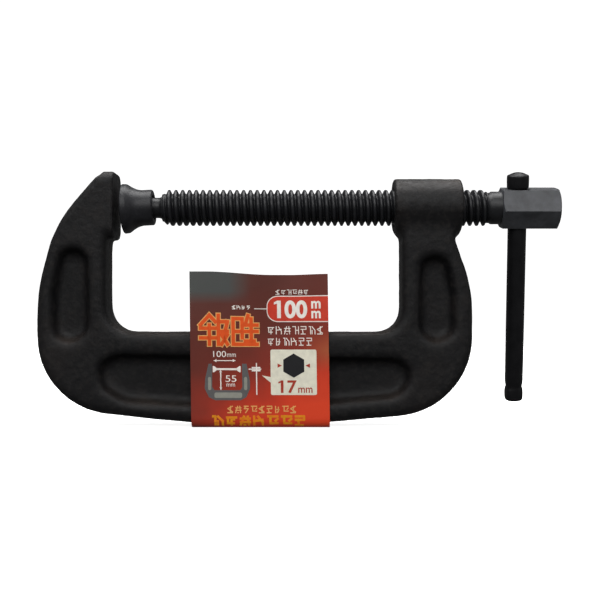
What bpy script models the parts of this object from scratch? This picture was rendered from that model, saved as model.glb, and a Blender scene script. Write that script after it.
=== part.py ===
"""Forged C clamp with a hex-headed screw, a ball-jointed swivel pad and a loose tommy bar.

Metres. X runs along the screw towards its hex head, Z points away from the spine, and Y runs through
the frame's thickness. The origin is the centre of the anvil face, on the screw's axis. The clamp is
modelled with REST_OPENING between its anvil and its pad, which is where every joint reads zero.
"""

import math

import bmesh
import bpy
from mathutils import Matrix, Vector

MM = 0.001
DEG = math.pi / 180

# ------------------------------------------------------------------ clearances
FIT_GAP = 0.3 * MM  # between faces that bear on each other
BALL_PLAY = 0.25 * MM  # between the ball, its retaining ring and the ring's groove
THREAD_PLAY_RADIAL = 0.4 * MM
THREAD_PLAY_AXIAL = 0.25 * MM
BAR_PLAY = 0.15 * MM  # between the leaning bar and the rim of its hole
BURY = 2 * MM  # how far shapes that are joined run into one another
CUT_PAST = 1 * MM  # how far a cutter runs past the face that it cuts

# ------------------------------------------------------------------ what the clamp holds
MAX_OPENING = 100 * MM
REST_OPENING = 2.6 * MM
THROAT = 55 * MM  # from the screw's axis to the spine
OPEN_SPARE = 4.8 * MM  # plain neck end to boss, with the clamp fully open

# ------------------------------------------------------------------ frame
FRAME_THICK = 21 * MM
EDGE_ROUND = 2.8 * MM
ANVIL_STAND = 3.3 * MM  # how far the anvil face stands off its arm
ANVIL_SET_IN = 0.1 * MM  # from the arm's side face to the anvil's
ANVIL_TOP = 15.5 * MM
ANVIL_BOTTOM = -14.2 * MM
ANVIL_CORNER = 5 * MM
ANVIL_CHAMFER = 0.9 * MM
ANVIL_FULL = 1.7 * MM  # how deep in the arm the anvil block still has its full section
ANVIL_TAPER = 4.6 * MM  # both the length and the depth of its taper from there
JAW_TOP = 13.7 * MM
JAW_CROWN = 6.2 * MM  # width of the flat on top of the jaw, its rounds included
JAW_SHOULDER = 21 * MM  # from the jaw's top down to the bend of its outer side
JAW_SHOULDER_IN = 7.8 * MM  # from the arm's outer side to that bend
LEFT_ARM = 30 * MM
RIGHT_ARM = 30.8 * MM
ARM_HEEL = 14.4 * MM  # from the screw's axis down to the heel below the boss's outer end
ARM_WAIST = 36 * MM  # from the screw's axis down to the bend of the right arm's outer side
SPINE_DEPTH = 40.6 * MM
SPINE_BOW = 1.95 * MM  # how far the bow's polygon stands below the spine's lowest point
SPINE_BOW_RADIUS = 410 * MM
SPINE_CORNER = 35 * MM
THROAT_ROUND_LEFT = 11.5 * MM
THROAT_ROUND_RIGHT = 10 * MM
BOSS_WALL = 4.8 * MM  # metal round the thread
BOSS_LENGTH = 30 * MM
BOSS_ROUND = 1.6 * MM
BOSS_OVERHANG = 3.2 * MM  # boss face to the inner face of the right arm
BORE_CHAMFER = 0.8 * MM
POCKET_DEPTH = 5.5 * MM
POCKET_LIP = 1 * MM  # radius that rounds a pocket's rim
POCKET_FLOOR = 2.2 * MM  # radius at the foot of a pocket's wall
RIM = 6.8 * MM  # flange left outside the left pocket
RIGHT_RIM = 7.7 * MM  # flange left outside the right pocket
LEFT_WEB = 7.2 * MM  # flange left between the left pocket and the throat
RIGHT_WEB = 7.4 * MM  # flange left between the right pocket and the throat

# ------------------------------------------------------------------ screw
THREAD_PITCH = 3 * MM
THREAD_DIA = 16 * MM
THREAD_DEPTH = 1.8 * MM
THREAD_CREST = 0.9 * MM  # width of the flat on a crest
THREAD_FLANK = 0.75 * MM  # axial width of one flank
THREAD_PAST_BOSS = 12.8 * MM
NECK_SHOWN = 4 * MM  # neck between the pad and the first turn
BALL_DIA = 10.4 * MM
NECK_UNDERCUT = 0.7 * MM  # how far the neck lies inside the ball
NECK_ROOT = 1 * MM  # how far the neck's root lies inside the thread's core
SHANK_RELIEF = 0.75 * MM  # how far the shank lies inside the thread's crests
SHANK_LENGTH = 4.7 * MM
HEX_FLATS = 17 * MM
HEX_LENGTH = 25.5 * MM
HEX_FACE_RIM = 0.3 * MM  # from the round of an end face to the flats
HEX_CHAMFER = 1 * MM
HEX_CLEAR = 0.1 * MM  # how far the turned barrel clears the hex's corners between its chamfers
HEX_ROLL = 14 * DEG  # the flat under the bar's head leans this far towards -Y

# ------------------------------------------------------------------ swivel pad
PAD_DIA = 22 * MM
PAD_RIM = 2.8 * MM  # thickness of the flared rim
PAD_WALL = 1.3 * MM  # metal of the collar outside the ring's groove
PAD_LIP = 0.95 * MM  # from the groove to the end of the collar
PAD_FLARE = 6.7 * MM  # length of the curve from the rim down to the collar
PAD_EDGE = 0.8 * MM
PAD_FACE_EDGE = 0.6 * MM
PAD_FLOOR = 3.4 * MM  # metal between the face and the ball's seat
PAD_DROOP = 3 * DEG  # how the loose pad hangs
PAD_TILT = 6 * DEG  # how far it can tilt either way from the screw's axis
RING_WIRE_DIA = 1.2 * MM
RING_PLAY = 0.4 * MM  # between the ring and the neck inside it
RING_SPLIT = 26 * DEG

# ------------------------------------------------------------------ tommy bar
BAR_DIA = 8.2 * MM
BAR_BELOW = 90.2 * MM  # from the screw's axis to the lower end
BAR_LEAN = 1.9 * DEG  # how far its lower end leans outward inside the hole
BAR_HOLE_AT = 7.8 * MM  # from the hex's inner end
BAR_HEAD_STOP = 0.65 * MM  # how much wider the head is than the bar's hole
BAR_HEAD_HEIGHT = 7.1 * MM
BAR_DOME = 1.5 * MM
BAR_NECK = 0.3 * MM  # how far the neck above the swaged end lies inside the bar
BAR_SWAGE = 7.5 * MM
BAR_SWAGE_STOP = 0.4 * MM  # how much wider the swaged ridges are than the bar's hole
BAR_RIDGES = 4
BAR_END_DOME = 1.2 * MM

# ------------------------------------------------------------------ card sleeve
CARD_WIDTH = 60 * MM
CARD_THICK = 0.5 * MM
CARD_TOP = 25.9 * MM  # how far it stands into the throat
CARD_FROM_RIGHT = 32 * MM  # from its edge to the inner face of the right arm
CARD_DRIFT = 0.8 * DEG  # how far its sides lean towards the anvil
CARD_SEAM = 2.5 * MM  # height of the glued seam
CARD_FOLD = 3 * MM  # radius of its folds under the spine
CARD_GAP = 0.2 * MM  # between its two ends, just below the seam
CARD_SHOULDER = 14 * MM  # radius of the bend where its back leaves the spine

# ------------------------------------------------------------------ mesh fineness
ARC_STEP = 12 * DEG
ANVIL_STEP = 18 * DEG
ROUND_STEPS = 3
CURVE_STEPS = 6
BALL_STEPS = 8
THREAD_SEGMENTS = 14
ROUND_SEGMENTS = 32
BAR_SEGMENTS = 24
WIRE_SEGMENTS = 20

# ------------------------------------------------------------------ places worked out from the sizes
arm_left_x = -ANVIL_STAND
frame_left_x = arm_left_x - LEFT_ARM
half_thick = FRAME_THICK / 2

thread_root = THREAD_DIA / 2 - THREAD_DEPTH
ball_radius = BALL_DIA / 2
neck_radius = ball_radius - NECK_UNDERCUT
wire_radius = RING_WIRE_DIA / 2
ring_radius = neck_radius + RING_PLAY + wire_radius
ring_behind_ball = math.sqrt((ball_radius + wire_radius + BALL_PLAY) ** 2 - ring_radius**2)
groove_radius = ring_radius + wire_radius + BALL_PLAY + ring_behind_ball * math.sin(PAD_TILT)
groove_half = wire_radius + BALL_PLAY + ring_radius * math.sin(PAD_TILT)
socket_radius = ball_radius + FIT_GAP
seat_depth = PAD_FLOOR + socket_radius  # from the pad's face to the ball's centre
collar_radius = groove_radius + PAD_WALL
pad_length = seat_depth + ring_behind_ball + groove_half + PAD_LIP

boss_radius = THREAD_DIA / 2 + BOSS_WALL
boss_left_x = MAX_OPENING + pad_length + NECK_SHOWN + OPEN_SPARE
boss_right_x = boss_left_x + BOSS_LENGTH
arm_right_x = boss_left_x + BOSS_OVERHANG
frame_right_x = arm_right_x + RIGHT_ARM
spine_top_z = -THROAT
spine_bottom_z = -THROAT - SPINE_DEPTH

ball_x = REST_OPENING + seat_depth
thread_start_x = REST_OPENING + pad_length + NECK_SHOWN
thread_end_x = boss_right_x + THREAD_PAST_BOSS
hex_start_x = thread_end_x + SHANK_LENGTH
hex_end_x = hex_start_x + HEX_LENGTH
bar_x = hex_start_x + BAR_HOLE_AT
bar_hole_dia = BAR_DIA + HEX_FLATS * math.tan(BAR_LEAN) + 2 * BAR_PLAY
bar_swage_dia = bar_hole_dia + BAR_SWAGE_STOP
bar_head_dia = bar_hole_dia + BAR_HEAD_STOP


# ------------------------------------------------------------------ outlines
def arc_between(centre, start, end, step):
    """Points on a circle round centre, from start to end by the shorter way."""
    first = start - centre
    last = end - centre
    turn = math.atan2(first.x * last.y - first.y * last.x, first.dot(last))
    steps = max(2, math.ceil(abs(turn) / step))
    return [centre + Matrix.Rotation(turn * k / steps, 2) @ first for k in range(steps + 1)]


def rounded_outline(corners, step=ARC_STEP):
    """A closed polygon given as (u, v, radius) corners, with an arc of that radius at each."""
    points = []
    for i, (u, v, radius) in enumerate(corners):
        corner = Vector((u, v))
        back = (Vector(corners[i - 1][:2]) - corner).normalized()
        ahead = (Vector(corners[(i + 1) % len(corners)][:2]) - corner).normalized()
        half = back.angle(ahead) / 2
        reach = radius / math.tan(half)
        centre = corner + (back + ahead).normalized() * (radius / math.sin(half))
        points += arc_between(centre, corner + back * reach, corner + ahead * reach, step)
    return points


def moved_out(points, distance):
    """A counterclockwise outline moved outward by distance, every edge staying parallel."""
    moved = []
    for i, point in enumerate(points):
        into = (point - points[i - 1]).normalized()
        out_of = (points[(i + 1) % len(points)] - point).normalized()
        first = Vector((into.y, -into.x))
        second = Vector((out_of.y, -out_of.x))
        moved.append(point + (first + second) * (distance / (1 + first.dot(second))))
    return moved


# ------------------------------------------------------------------ meshes and objects
def mesh_object(name, bm, location=(0, 0, 0), rotation=None):
    """Turns bm into an object whose faces point out."""
    bmesh.ops.remove_doubles(bm, verts=bm.verts, dist=1e-6)
    bmesh.ops.recalc_face_normals(bm, faces=bm.faces)
    mesh = bpy.data.meshes.new(name)
    bm.to_mesh(mesh)
    bm.free()
    obj = bpy.data.objects.new(name, mesh)
    obj.matrix_world = Matrix.Translation(location) @ (rotation or Matrix())
    bpy.context.scene.collection.objects.link(obj)
    return obj


def lofted(rings):
    """One closed body through rings of equally many points, filled at the first and the last."""
    bm = bmesh.new()
    loops = [[bm.verts.new(point) for point in ring] for ring in rings]
    for lower, upper in zip(loops, loops[1:]):
        for i in range(len(lower)):
            bm.faces.new((lower[i - 1], lower[i], upper[i], upper[i - 1]))
    bm.faces.new(loops[0])
    bm.faces.new(loops[-1])
    return bm


def turned(profile, segments):
    """A body of revolution about X, from (x, radius) points that run from one end to the other."""
    rings = []
    for x, radius in profile:
        angles = (2 * math.pi * k / segments for k in range(segments))
        rings.append([(x, radius * math.cos(a), radius * math.sin(a)) for a in angles])
    return lofted(rings)


def plate(outline, levels):
    """A body through the thickness: outline in XZ, and (y, outward offset) for each level."""
    rings = []
    for y, offset in levels:
        rings.append([(p.x, y, p.y) for p in moved_out(outline, offset)])
    return lofted(rings)


def combine(obj, other, operation):
    """Joins other to obj, or cuts it away, and keeps other as a guide that isn't part of the clamp."""
    modifier = obj.modifiers.new(other.name, "BOOLEAN")
    modifier.operation = operation
    modifier.solver = "EXACT"
    modifier.object = other
    other.hide_render = True
    other.display_type = "WIRE"


def add_material(obj, name, colour, roughness, metallic):
    material = bpy.data.materials.new(name)
    material.use_nodes = True
    shader = material.node_tree.nodes["Principled BSDF"]
    shader.inputs["Base Color"].default_value = (*colour, 1)
    shader.inputs["Roughness"].default_value = roughness
    shader.inputs["Metallic"].default_value = metallic
    obj.data.materials.append(material)


def shade_round(obj):
    obj.data.shade_smooth()
    obj.data.set_sharp_from_angle(angle=35 * DEG)
    normals = obj.modifiers.new("face_normals", "WEIGHTED_NORMAL")
    normals.keep_sharp = True


# ------------------------------------------------------------------ screw thread
def threaded_rod(start, end, root, crest_radius, crest_width, flank, runout):
    """A right-hand threaded rod along X from start to end, which fades to its root at both ends.

    Crests lie midway between multiples of the pitch at angle zero, so any two rods, or a rod and
    a thread cutter, are in step wherever they start.
    """
    half = crest_width / 2
    profile = (
        (0.5 * THREAD_PITCH - half - flank, root),
        (0.5 * THREAD_PITCH - half, crest_radius),
        (0.5 * THREAD_PITCH + half, crest_radius),
        (0.5 * THREAD_PITCH + half + flank, root),
    )
    first_turn = math.floor(start / THREAD_PITCH) - 1
    last_turn = math.ceil(end / THREAD_PITCH) + 1
    rows = [(n * THREAD_PITCH + along, radius) for n in range(first_turn, last_turn) for along, radius in profile]
    bm = bmesh.new()
    grid = []
    for along, radius in rows:
        row = []
        for k in range(THREAD_SEGMENTS):
            x = min(max(along + THREAD_PITCH * k / THREAD_SEGMENTS, start), end)
            fade = min(1, (x - start) / runout, (end - x) / runout)
            r = root + (radius - root) * fade
            angle = 2 * math.pi * k / THREAD_SEGMENTS
            row.append(bm.verts.new((x, r * math.cos(angle), r * math.sin(angle))))
        grid.append(row)
    per_turn = len(profile)

    def vertex(row, k):
        """After a whole turn the helix has come to the same point of the next turn's profile."""
        return grid[row][k] if k < THREAD_SEGMENTS else grid[row + per_turn][0]

    for row in range(len(grid) - 1 - per_turn):
        for k in range(THREAD_SEGMENTS):
            bm.faces.new((vertex(row, k), vertex(row, k + 1), vertex(row + 1, k + 1), vertex(row + 1, k)))
    bmesh.ops.remove_doubles(bm, verts=bm.verts, dist=1e-6)
    loose = [v for v in bm.verts if not v.link_faces]
    bmesh.ops.delete(bm, geom=loose, context="VERTS")
    bmesh.ops.holes_fill(bm, edges=[e for e in bm.edges if e.is_boundary], sides=0)
    return bm


# ------------------------------------------------------------------ frame
def frame_outline():
    """The C of the frame as one counterclockwise outline in XZ, the boss left out."""
    deep = spine_bottom_z - SPINE_BOW
    width = frame_right_x - frame_left_x
    crown_x = arm_left_x + 2.3 * MM
    left = frame_left_x - 0.3 * MM
    right = frame_right_x + 0.2 * MM
    return rounded_outline(
        [
            (crown_x, JAW_TOP, 3 * MM),
            (crown_x - JAW_CROWN, JAW_TOP, 3.6 * MM),
            (frame_left_x + JAW_SHOULDER_IN, JAW_TOP - JAW_SHOULDER, 60 * MM),
            (left, JAW_TOP - 50 * MM, 80 * MM),
            (left, spine_bottom_z + 8 * MM, SPINE_CORNER - MM),
            (frame_left_x + 0.485 * width, deep, SPINE_BOW_RADIUS),
            (right, spine_bottom_z + 6.6 * MM, SPINE_CORNER),
            (right, -ARM_WAIST, 60 * MM),
            (boss_right_x - 3.5 * MM, -ARM_HEEL, 3 * MM),
            (boss_right_x - 2.6 * MM, 0, 3.5 * MM),
            (arm_right_x, 0, 3.5 * MM),
            (arm_right_x, spine_top_z, THROAT_ROUND_RIGHT),
            (arm_left_x, spine_top_z, THROAT_ROUND_LEFT),
            (arm_left_x, ANVIL_BOTTOM - 3 * MM, 8 * MM),
        ]
    )


def pocket_outlines():
    """The three pockets, each a rounded polygon set inside the frame's edges."""
    left = frame_left_x + RIM
    right = frame_right_x - RIGHT_RIM
    inner_left = arm_left_x - LEFT_WEB
    inner_right = arm_right_x + RIGHT_WEB
    arm_foot = spine_top_z - 4.6 * MM
    low = spine_bottom_z + 8.4 * MM
    left_wide = inner_left - left
    right_wide = right - inner_right
    left_arm = [
        (left + 0.22 * left_wide, -18 * MM, 0.37 * left_wide),
        (left - 0.2 * MM, -37 * MM, 18 * MM),
        (left, arm_foot + 2.2 * MM, 0.37 * left_wide),
        (left + 0.5 * left_wide, arm_foot - 0.4 * MM, 0.3 * left_wide),
        (inner_left, arm_foot + 4 * MM, 0.4 * left_wide),
        (inner_left - 0.4 * MM, -19 * MM, 0.4 * left_wide),
    ]
    right_arm = [
        (right - 0.24 * right_wide, -21.4 * MM, 0.33 * right_wide),
        (inner_right + 0.3 * MM, -21.9 * MM, 0.36 * right_wide),
        (inner_right - 0.2 * MM, arm_foot + 4 * MM, 0.4 * right_wide),
        (inner_right + 0.5 * right_wide, arm_foot - 0.8 * MM, 0.32 * right_wide),
        (right, arm_foot + 4 * MM, 0.37 * right_wide),
        (right, -38 * MM, 20 * MM),
    ]
    spine = [
        (arm_left_x - 4.4 * MM, spine_top_z - 14 * MM, 7 * MM),
        (arm_left_x - 1.6 * MM, low + 7.5 * MM, 7 * MM),
        (arm_left_x + 8.5 * MM, low + 1.6 * MM, 12 * MM),
        ((frame_left_x + frame_right_x) / 2, low - 1.6 * MM, 300 * MM),
        (arm_right_x - 1 * MM, low + 3.6 * MM, 9 * MM),
        (arm_right_x + 5.5 * MM, spine_top_z - 18 * MM, 7 * MM),
        (arm_right_x - 1 * MM, spine_top_z - 11.4 * MM, 6 * MM),
        (arm_left_x + 4 * MM, spine_top_z - 9.6 * MM, 7 * MM),
    ]
    return {
        "left_pocket": rounded_outline(left_arm),
        "right_pocket": rounded_outline(right_arm),
        "spine_pocket": rounded_outline(spine),
    }


def edge_levels(side):
    """(y, offset) levels that round the frame's outer edge on one side, from the flat inwards."""
    levels = []
    for k in range(ROUND_STEPS + 1):
        turn = k / ROUND_STEPS * math.pi / 2
        y = half_thick - EDGE_ROUND * (1 - math.sin(turn))
        levels.append((side * y, -EDGE_ROUND * (1 - math.cos(turn))))
    return levels


def pocket_levels(side):
    """(y, offset) levels of a pocket: a rounded rim, a slightly drafted wall and a rounded foot."""
    floor = half_thick - POCKET_DEPTH
    levels = [(half_thick + CUT_PAST, POCKET_LIP), (half_thick, POCKET_LIP)]
    levels.append((half_thick - 0.3 * POCKET_LIP, 0.3 * POCKET_LIP))
    levels.append((half_thick - POCKET_LIP, 0))
    levels.append((floor + POCKET_FLOOR, -0.15 * POCKET_FLOOR))
    levels.append((floor + 0.3 * POCKET_FLOOR, -0.5 * POCKET_FLOOR))
    levels.append((floor, -1.1 * POCKET_FLOOR))
    return [(side * y, offset) for y, offset in levels]


def anvil_block():
    """The raised anvil, with rounded corners, a chamfer round its face and a taper inside the arm."""
    half = half_thick - ANVIL_SET_IN
    face = rounded_outline(
        [
            (-half, ANVIL_BOTTOM, ANVIL_CORNER),
            (half, ANVIL_BOTTOM, ANVIL_CORNER),
            (half, ANVIL_TOP, ANVIL_CORNER),
            (-half, ANVIL_TOP, ANVIL_CORNER),
        ],
        ANVIL_STEP,
    )
    full = arm_left_x - ANVIL_FULL
    levels = [(full - ANVIL_TAPER, -ANVIL_TAPER), (full, 0), (-ANVIL_CHAMFER, 0), (0, -ANVIL_CHAMFER)]
    return lofted([[(x, p.x, p.y) for p in moved_out(face, offset)] for x, offset in levels])


def boss():
    profile = []
    for k in range(ROUND_STEPS + 1):
        turn = k / ROUND_STEPS * math.pi / 2
        profile.append((BOSS_ROUND * (1 - math.sin(turn)), boss_radius - BOSS_ROUND * (1 - math.cos(turn))))
    profile.reverse()
    near = [(boss_left_x + x, r) for x, r in profile]
    far = [(boss_right_x - x, r) for x, r in profile]
    return turned(near + far[::-1], ROUND_SEGMENTS)


def build_frame():
    outline = frame_outline()
    levels = edge_levels(-1)[::-1] + edge_levels(1)
    frame = mesh_object("frame", plate(outline, levels))
    combine(frame, mesh_object("boss_shape", boss()), "UNION")
    combine(frame, mesh_object("anvil_shape", anvil_block()), "UNION")
    for name, pocket in pocket_outlines().items():
        for side, label in ((-1, "front"), (1, "back")):
            cutter = mesh_object(f"{name}_{label}_cutter", plate(pocket, pocket_levels(side)))
            combine(frame, cutter, "DIFFERENCE")
    reach = 2 * THREAD_PITCH
    minor = thread_root + THREAD_PLAY_RADIAL
    major = THREAD_DIA / 2 + THREAD_PLAY_RADIAL
    slope = THREAD_FLANK / THREAD_DEPTH
    crest = THREAD_CREST + 2 * THREAD_PLAY_AXIAL - 2 * THREAD_PLAY_RADIAL * slope
    thread = threaded_rod(boss_left_x - reach, boss_right_x + reach, minor, major, crest, THREAD_FLANK, THREAD_PITCH)
    combine(frame, mesh_object("thread_cutter", thread), "DIFFERENCE")
    wide = major + BORE_CHAMFER / 2
    for face, way, label in ((boss_left_x, 1, "inner"), (boss_right_x, -1, "outer")):
        cone = turned([(face - way * CUT_PAST, wide + CUT_PAST), (face + way * (wide - minor), minor)], BAR_SEGMENTS)
        combine(frame, mesh_object(f"{label}_chamfer_cutter", cone), "DIFFERENCE")
    shade_round(frame)
    add_material(frame, "forged_oxide", (0.022, 0.018, 0.016), 0.6, 0.0)


# ------------------------------------------------------------------ screw
def ball_and_neck():
    """Ball, neck and the cone that joins the neck to the thread's core."""
    behind = math.asin(neck_radius / ball_radius)
    root = thread_root - NECK_ROOT
    profile = []
    for k in range(BALL_STEPS + 1):
        turn = k / BALL_STEPS * (math.pi - behind)
        profile.append((ball_x - ball_radius * math.cos(turn), ball_radius * math.sin(turn)))
    profile.append((thread_start_x - 0.6 * NECK_SHOWN, neck_radius))
    profile.append((thread_start_x, root))
    profile.append((thread_start_x + THREAD_PITCH, root))
    return turned(profile, BAR_SEGMENTS)


def hex_head():
    """The shank and the hex, whose corners are turned down at both ends."""
    apothem = HEX_FLATS / 2
    flat_edge = apothem - HEX_FACE_RIM
    corner = apothem / math.cos(30 * DEG)
    shank_radius = THREAD_DIA / 2 - SHANK_RELIEF
    ends = (thread_end_x - BURY, hex_start_x + BURY)
    shank = mesh_object("shank_shape", turned([(x, shank_radius) for x in ends], ROUND_SEGMENTS))
    sides = [90 * DEG + HEX_ROLL + 30 * DEG + 60 * DEG * k for k in range(6)]
    rings = [[(x, corner * math.cos(a), corner * math.sin(a)) for a in sides] for x in (hex_start_x, hex_end_x)]
    prism = mesh_object("hex_shape", lofted(rings))
    clear = corner + HEX_CLEAR
    barrel = [
        (hex_start_x - CUT_PAST, flat_edge),
        (hex_start_x, flat_edge),
        (hex_start_x + HEX_CHAMFER, clear),
        (hex_end_x - HEX_CHAMFER, clear),
        (hex_end_x, flat_edge),
        (hex_end_x + CUT_PAST, flat_edge),
    ]
    combine(prism, mesh_object("hex_turning_shape", turned(barrel, 48)), "INTERSECT")
    return shank, prism


def build_screw():
    rod = threaded_rod(
        thread_start_x,
        thread_end_x,
        thread_root,
        THREAD_DIA / 2,
        THREAD_CREST,
        THREAD_FLANK,
        THREAD_PITCH / 2,
    )
    screw = mesh_object("screw", rod)
    combine(screw, mesh_object("ball_shape", ball_and_neck()), "UNION")
    shank, prism = hex_head()
    combine(screw, shank, "UNION")
    combine(screw, prism, "UNION")
    half = HEX_FLATS
    hole = turned([(-half, bar_hole_dia / 2), (half, bar_hole_dia / 2)], BAR_SEGMENTS)
    combine(screw, mesh_object("bar_hole_cutter", hole, (bar_x, 0, 0), hole_direction()), "DIFFERENCE")
    shade_round(screw)
    add_material(screw, "screw_black", (0.02, 0.02, 0.024), 0.4, 0.6)


def hole_direction():
    """Turns X onto the line square to the hex's upper flat."""
    return Matrix.Rotation(HEX_ROLL, 4, "X") @ Matrix.Rotation(-90 * DEG, 4, "Y")


# ------------------------------------------------------------------ swivel pad and its ring
def pad_profile():
    """(distance from the face, radius) from the face's centre round the outside and into the socket."""
    rim = PAD_DIA / 2
    flare = rim - 0.2 * MM - collar_radius
    profile = [(0, 0), (0, rim - PAD_FACE_EDGE), (PAD_FACE_EDGE, rim), (PAD_RIM - 0.3 * MM, rim)]
    for k in range(CURVE_STEPS + 1):
        t = k / CURVE_STEPS
        profile.append((PAD_RIM + PAD_FLARE * t, collar_radius + flare * (1 - t) ** 2))
    profile += [(pad_length - PAD_EDGE, collar_radius), (pad_length, collar_radius - PAD_EDGE)]
    groove = seat_depth + ring_behind_ball
    profile += [
        (pad_length, socket_radius),
        (groove + groove_half, socket_radius),
        (groove + groove_half, groove_radius),
        (groove - groove_half, groove_radius),
        (groove - groove_half, socket_radius),
    ]
    for k in range(CURVE_STEPS + 1):
        turn = 90 * DEG * k / CURVE_STEPS
        profile.append((seat_depth - socket_radius * math.sin(turn), socket_radius * math.cos(turn)))
    return profile


def build_pad():
    """The pad's origin is the ball's centre, about which it tilts."""
    profile = [(x - seat_depth, radius) for x, radius in pad_profile()]
    droop = Matrix.Rotation(-PAD_DROOP, 4, "Y")
    pad = mesh_object("swivel_pad", closed_turning(profile), (ball_x, 0, 0), droop)
    shade_round(pad)
    add_material(pad, "pad_black", (0.024, 0.024, 0.028), 0.45, 0.5)


def closed_turning(profile):
    """A body of revolution whose profile starts and ends on the axis and may turn back on itself."""
    bm = bmesh.new()
    loops = []
    for x, radius in profile:
        angles = (2 * math.pi * k / ROUND_SEGMENTS for k in range(ROUND_SEGMENTS))
        loops.append([bm.verts.new((x, radius * math.cos(a), radius * math.sin(a))) for a in angles])
    for first, second in zip(loops, loops[1:]):
        for i in range(ROUND_SEGMENTS):
            bm.faces.new((first[i - 1], first[i], second[i], second[i - 1]))
    bmesh.ops.remove_doubles(bm, verts=bm.verts, dist=1e-6)
    return bm


def build_ring():
    """A split ring of round wire, made as a curve with filled ends."""
    curve = bpy.data.curves.new("pad_retaining_ring", "CURVE")
    curve.dimensions = "3D"
    curve.bevel_depth = wire_radius
    curve.bevel_resolution = 2
    curve.use_fill_caps = True
    spline = curve.splines.new("POLY")
    spline.points.add(WIRE_SEGMENTS)
    sweep = 2 * math.pi - RING_SPLIT
    for k, point in enumerate(spline.points):
        angle = 90 * DEG + RING_SPLIT / 2 + sweep * k / WIRE_SEGMENTS
        point.co = (0, ring_radius * math.cos(angle), ring_radius * math.sin(angle), 1)
    ring = bpy.data.objects.new("pad_retaining_ring", curve)
    ring.location = (ball_x + ring_behind_ball, 0, 0)
    bpy.context.scene.collection.objects.link(ring)
    add_material(ring, "spring_wire", (0.35, 0.35, 0.35), 0.35, 1.0)


# ------------------------------------------------------------------ tommy bar
def bar_levels():
    """(height, radius, ridge height) up the bar from its lower end, the screw's axis at height zero."""
    low = -BAR_BELOW
    head = HEX_FLATS / 2 + FIT_GAP
    top = head + BAR_HEAD_HEIGHT
    shaft = BAR_DIA / 2
    swage = bar_swage_dia / 2
    ridge = swage - shaft
    widest = bar_head_dia / 2
    return [
        (low, 0.25 * shaft, 0),
        (low + 0.35 * BAR_END_DOME, 0.7 * shaft, 0.3 * ridge),
        (low + BAR_END_DOME, 0.95 * swage, 0.9 * ridge),
        (low + 0.35 * BAR_SWAGE, swage, ridge),
        (low + 0.7 * BAR_SWAGE, 0.97 * swage, ridge),
        (low + BAR_SWAGE, shaft - BAR_NECK, 0),
        (low + 1.3 * BAR_SWAGE, shaft, 0),
        (head, shaft, 0),
        (head, widest - 0.35 * MM, 0),
        (head + 0.25 * BAR_HEAD_HEIGHT, widest - 0.05 * MM, 0),
        (head + 0.5 * BAR_HEAD_HEIGHT, widest, 0),
        (top - BAR_DOME, widest - 0.15 * MM, 0),
        (top - 0.7 * BAR_DOME, 0.85 * widest, 0),
        (top - 0.3 * BAR_DOME, 0.55 * widest, 0),
        (top, 0.15 * widest, 0),
    ]


def build_bar():
    rings = []
    for height, radius, ridge in bar_levels():
        ring = []
        for k in range(BAR_SEGMENTS):
            angle = 2 * math.pi * k / BAR_SEGMENTS
            r = radius - ridge * (1 + math.cos(BAR_RIDGES * angle)) / 2
            ring.append((height, r * math.cos(angle), r * math.sin(angle)))
        rings.append(ring)
    lean = Matrix.Rotation(-BAR_LEAN, 4, "Y")
    direction = Matrix.Rotation(HEX_ROLL, 4, "X") @ lean @ Matrix.Rotation(-90 * DEG, 4, "Y")
    bar = mesh_object("tommy_bar", lofted(rings), (bar_x, 0, 0), direction)
    shade_round(bar)
    add_material(bar, "bar_black", (0.012, 0.012, 0.014), 0.4, 0.3)


# ------------------------------------------------------------------ card sleeve
def build_card():
    """A strip of card folded under the spine. Its front stands upright, and its back leans over to it."""
    skin = half_thick + FIT_GAP
    fold = min(point.y for point in frame_outline()) - FIT_GAP
    top = spine_top_z + CARD_TOP
    seam = top - CARD_SEAM
    inner = rounded_outline(
        [
            (-skin, fold, CARD_FOLD),
            (skin, fold, CARD_FOLD),
            (skin, spine_top_z, CARD_SHOULDER),
            (CARD_GAP - skin, seam, CARD_GAP / 4),
            (-skin, seam, CARD_GAP / 4),
        ]
    )
    outer = moved_out(inner, CARD_THICK)
    right = arm_right_x - CARD_FROM_RIGHT
    middle = right - CARD_WIDTH / 2
    height = (fold + top) / 2
    sides = (-CARD_WIDTH / 2, CARD_WIDTH / 2)

    def placed(side, point):
        return (side - (point.y - height) * math.tan(CARD_DRIFT), point.x, point.y - height)

    bm = bmesh.new()
    rings = [[bm.verts.new(placed(side, p)) for p in line] for side in sides for line in (inner, outer)]
    for first, second in ((0, 1), (1, 3), (3, 2), (2, 0)):
        for i in range(len(inner)):
            bm.faces.new((rings[first][i - 1], rings[first][i], rings[second][i], rings[second][i - 1]))
    card = mesh_object("card_sleeve", bm, (middle, 0, height))
    seam_low = seam - 2 * CARD_THICK
    front = -skin - CARD_THICK
    back = front + 2 * CARD_THICK
    strip = ((front, seam_low), (back, seam_low), (back, top), (front, top))
    tab = lofted([[placed(side, Vector(corner)) for corner in strip] for side in sides])
    combine(card, mesh_object("card_seam_shape", tab, (middle, 0, height)), "UNION")
    add_material(card, "printed_card", (0.25, 0.05, 0.03), 0.5, 0.0)


# ------------------------------------------------------------------ the clamp
def clear_scene():
    for obj in list(bpy.data.objects):
        bpy.data.objects.remove(obj)


def main():
    clear_scene()
    build_frame()
    build_screw()
    build_pad()
    build_ring()
    build_bar()
    build_card()


main()
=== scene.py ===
"""Looks of the forged C clamp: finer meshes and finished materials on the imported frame.

Metres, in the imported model's frame: X runs along the screw towards its hex head, Z points away from
the spine, and the origin is the centre of the anvil face.
"""

import math
import random

import bmesh
import bpy
import numpy as np
from mathutils import Matrix, Vector, noise


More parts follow.
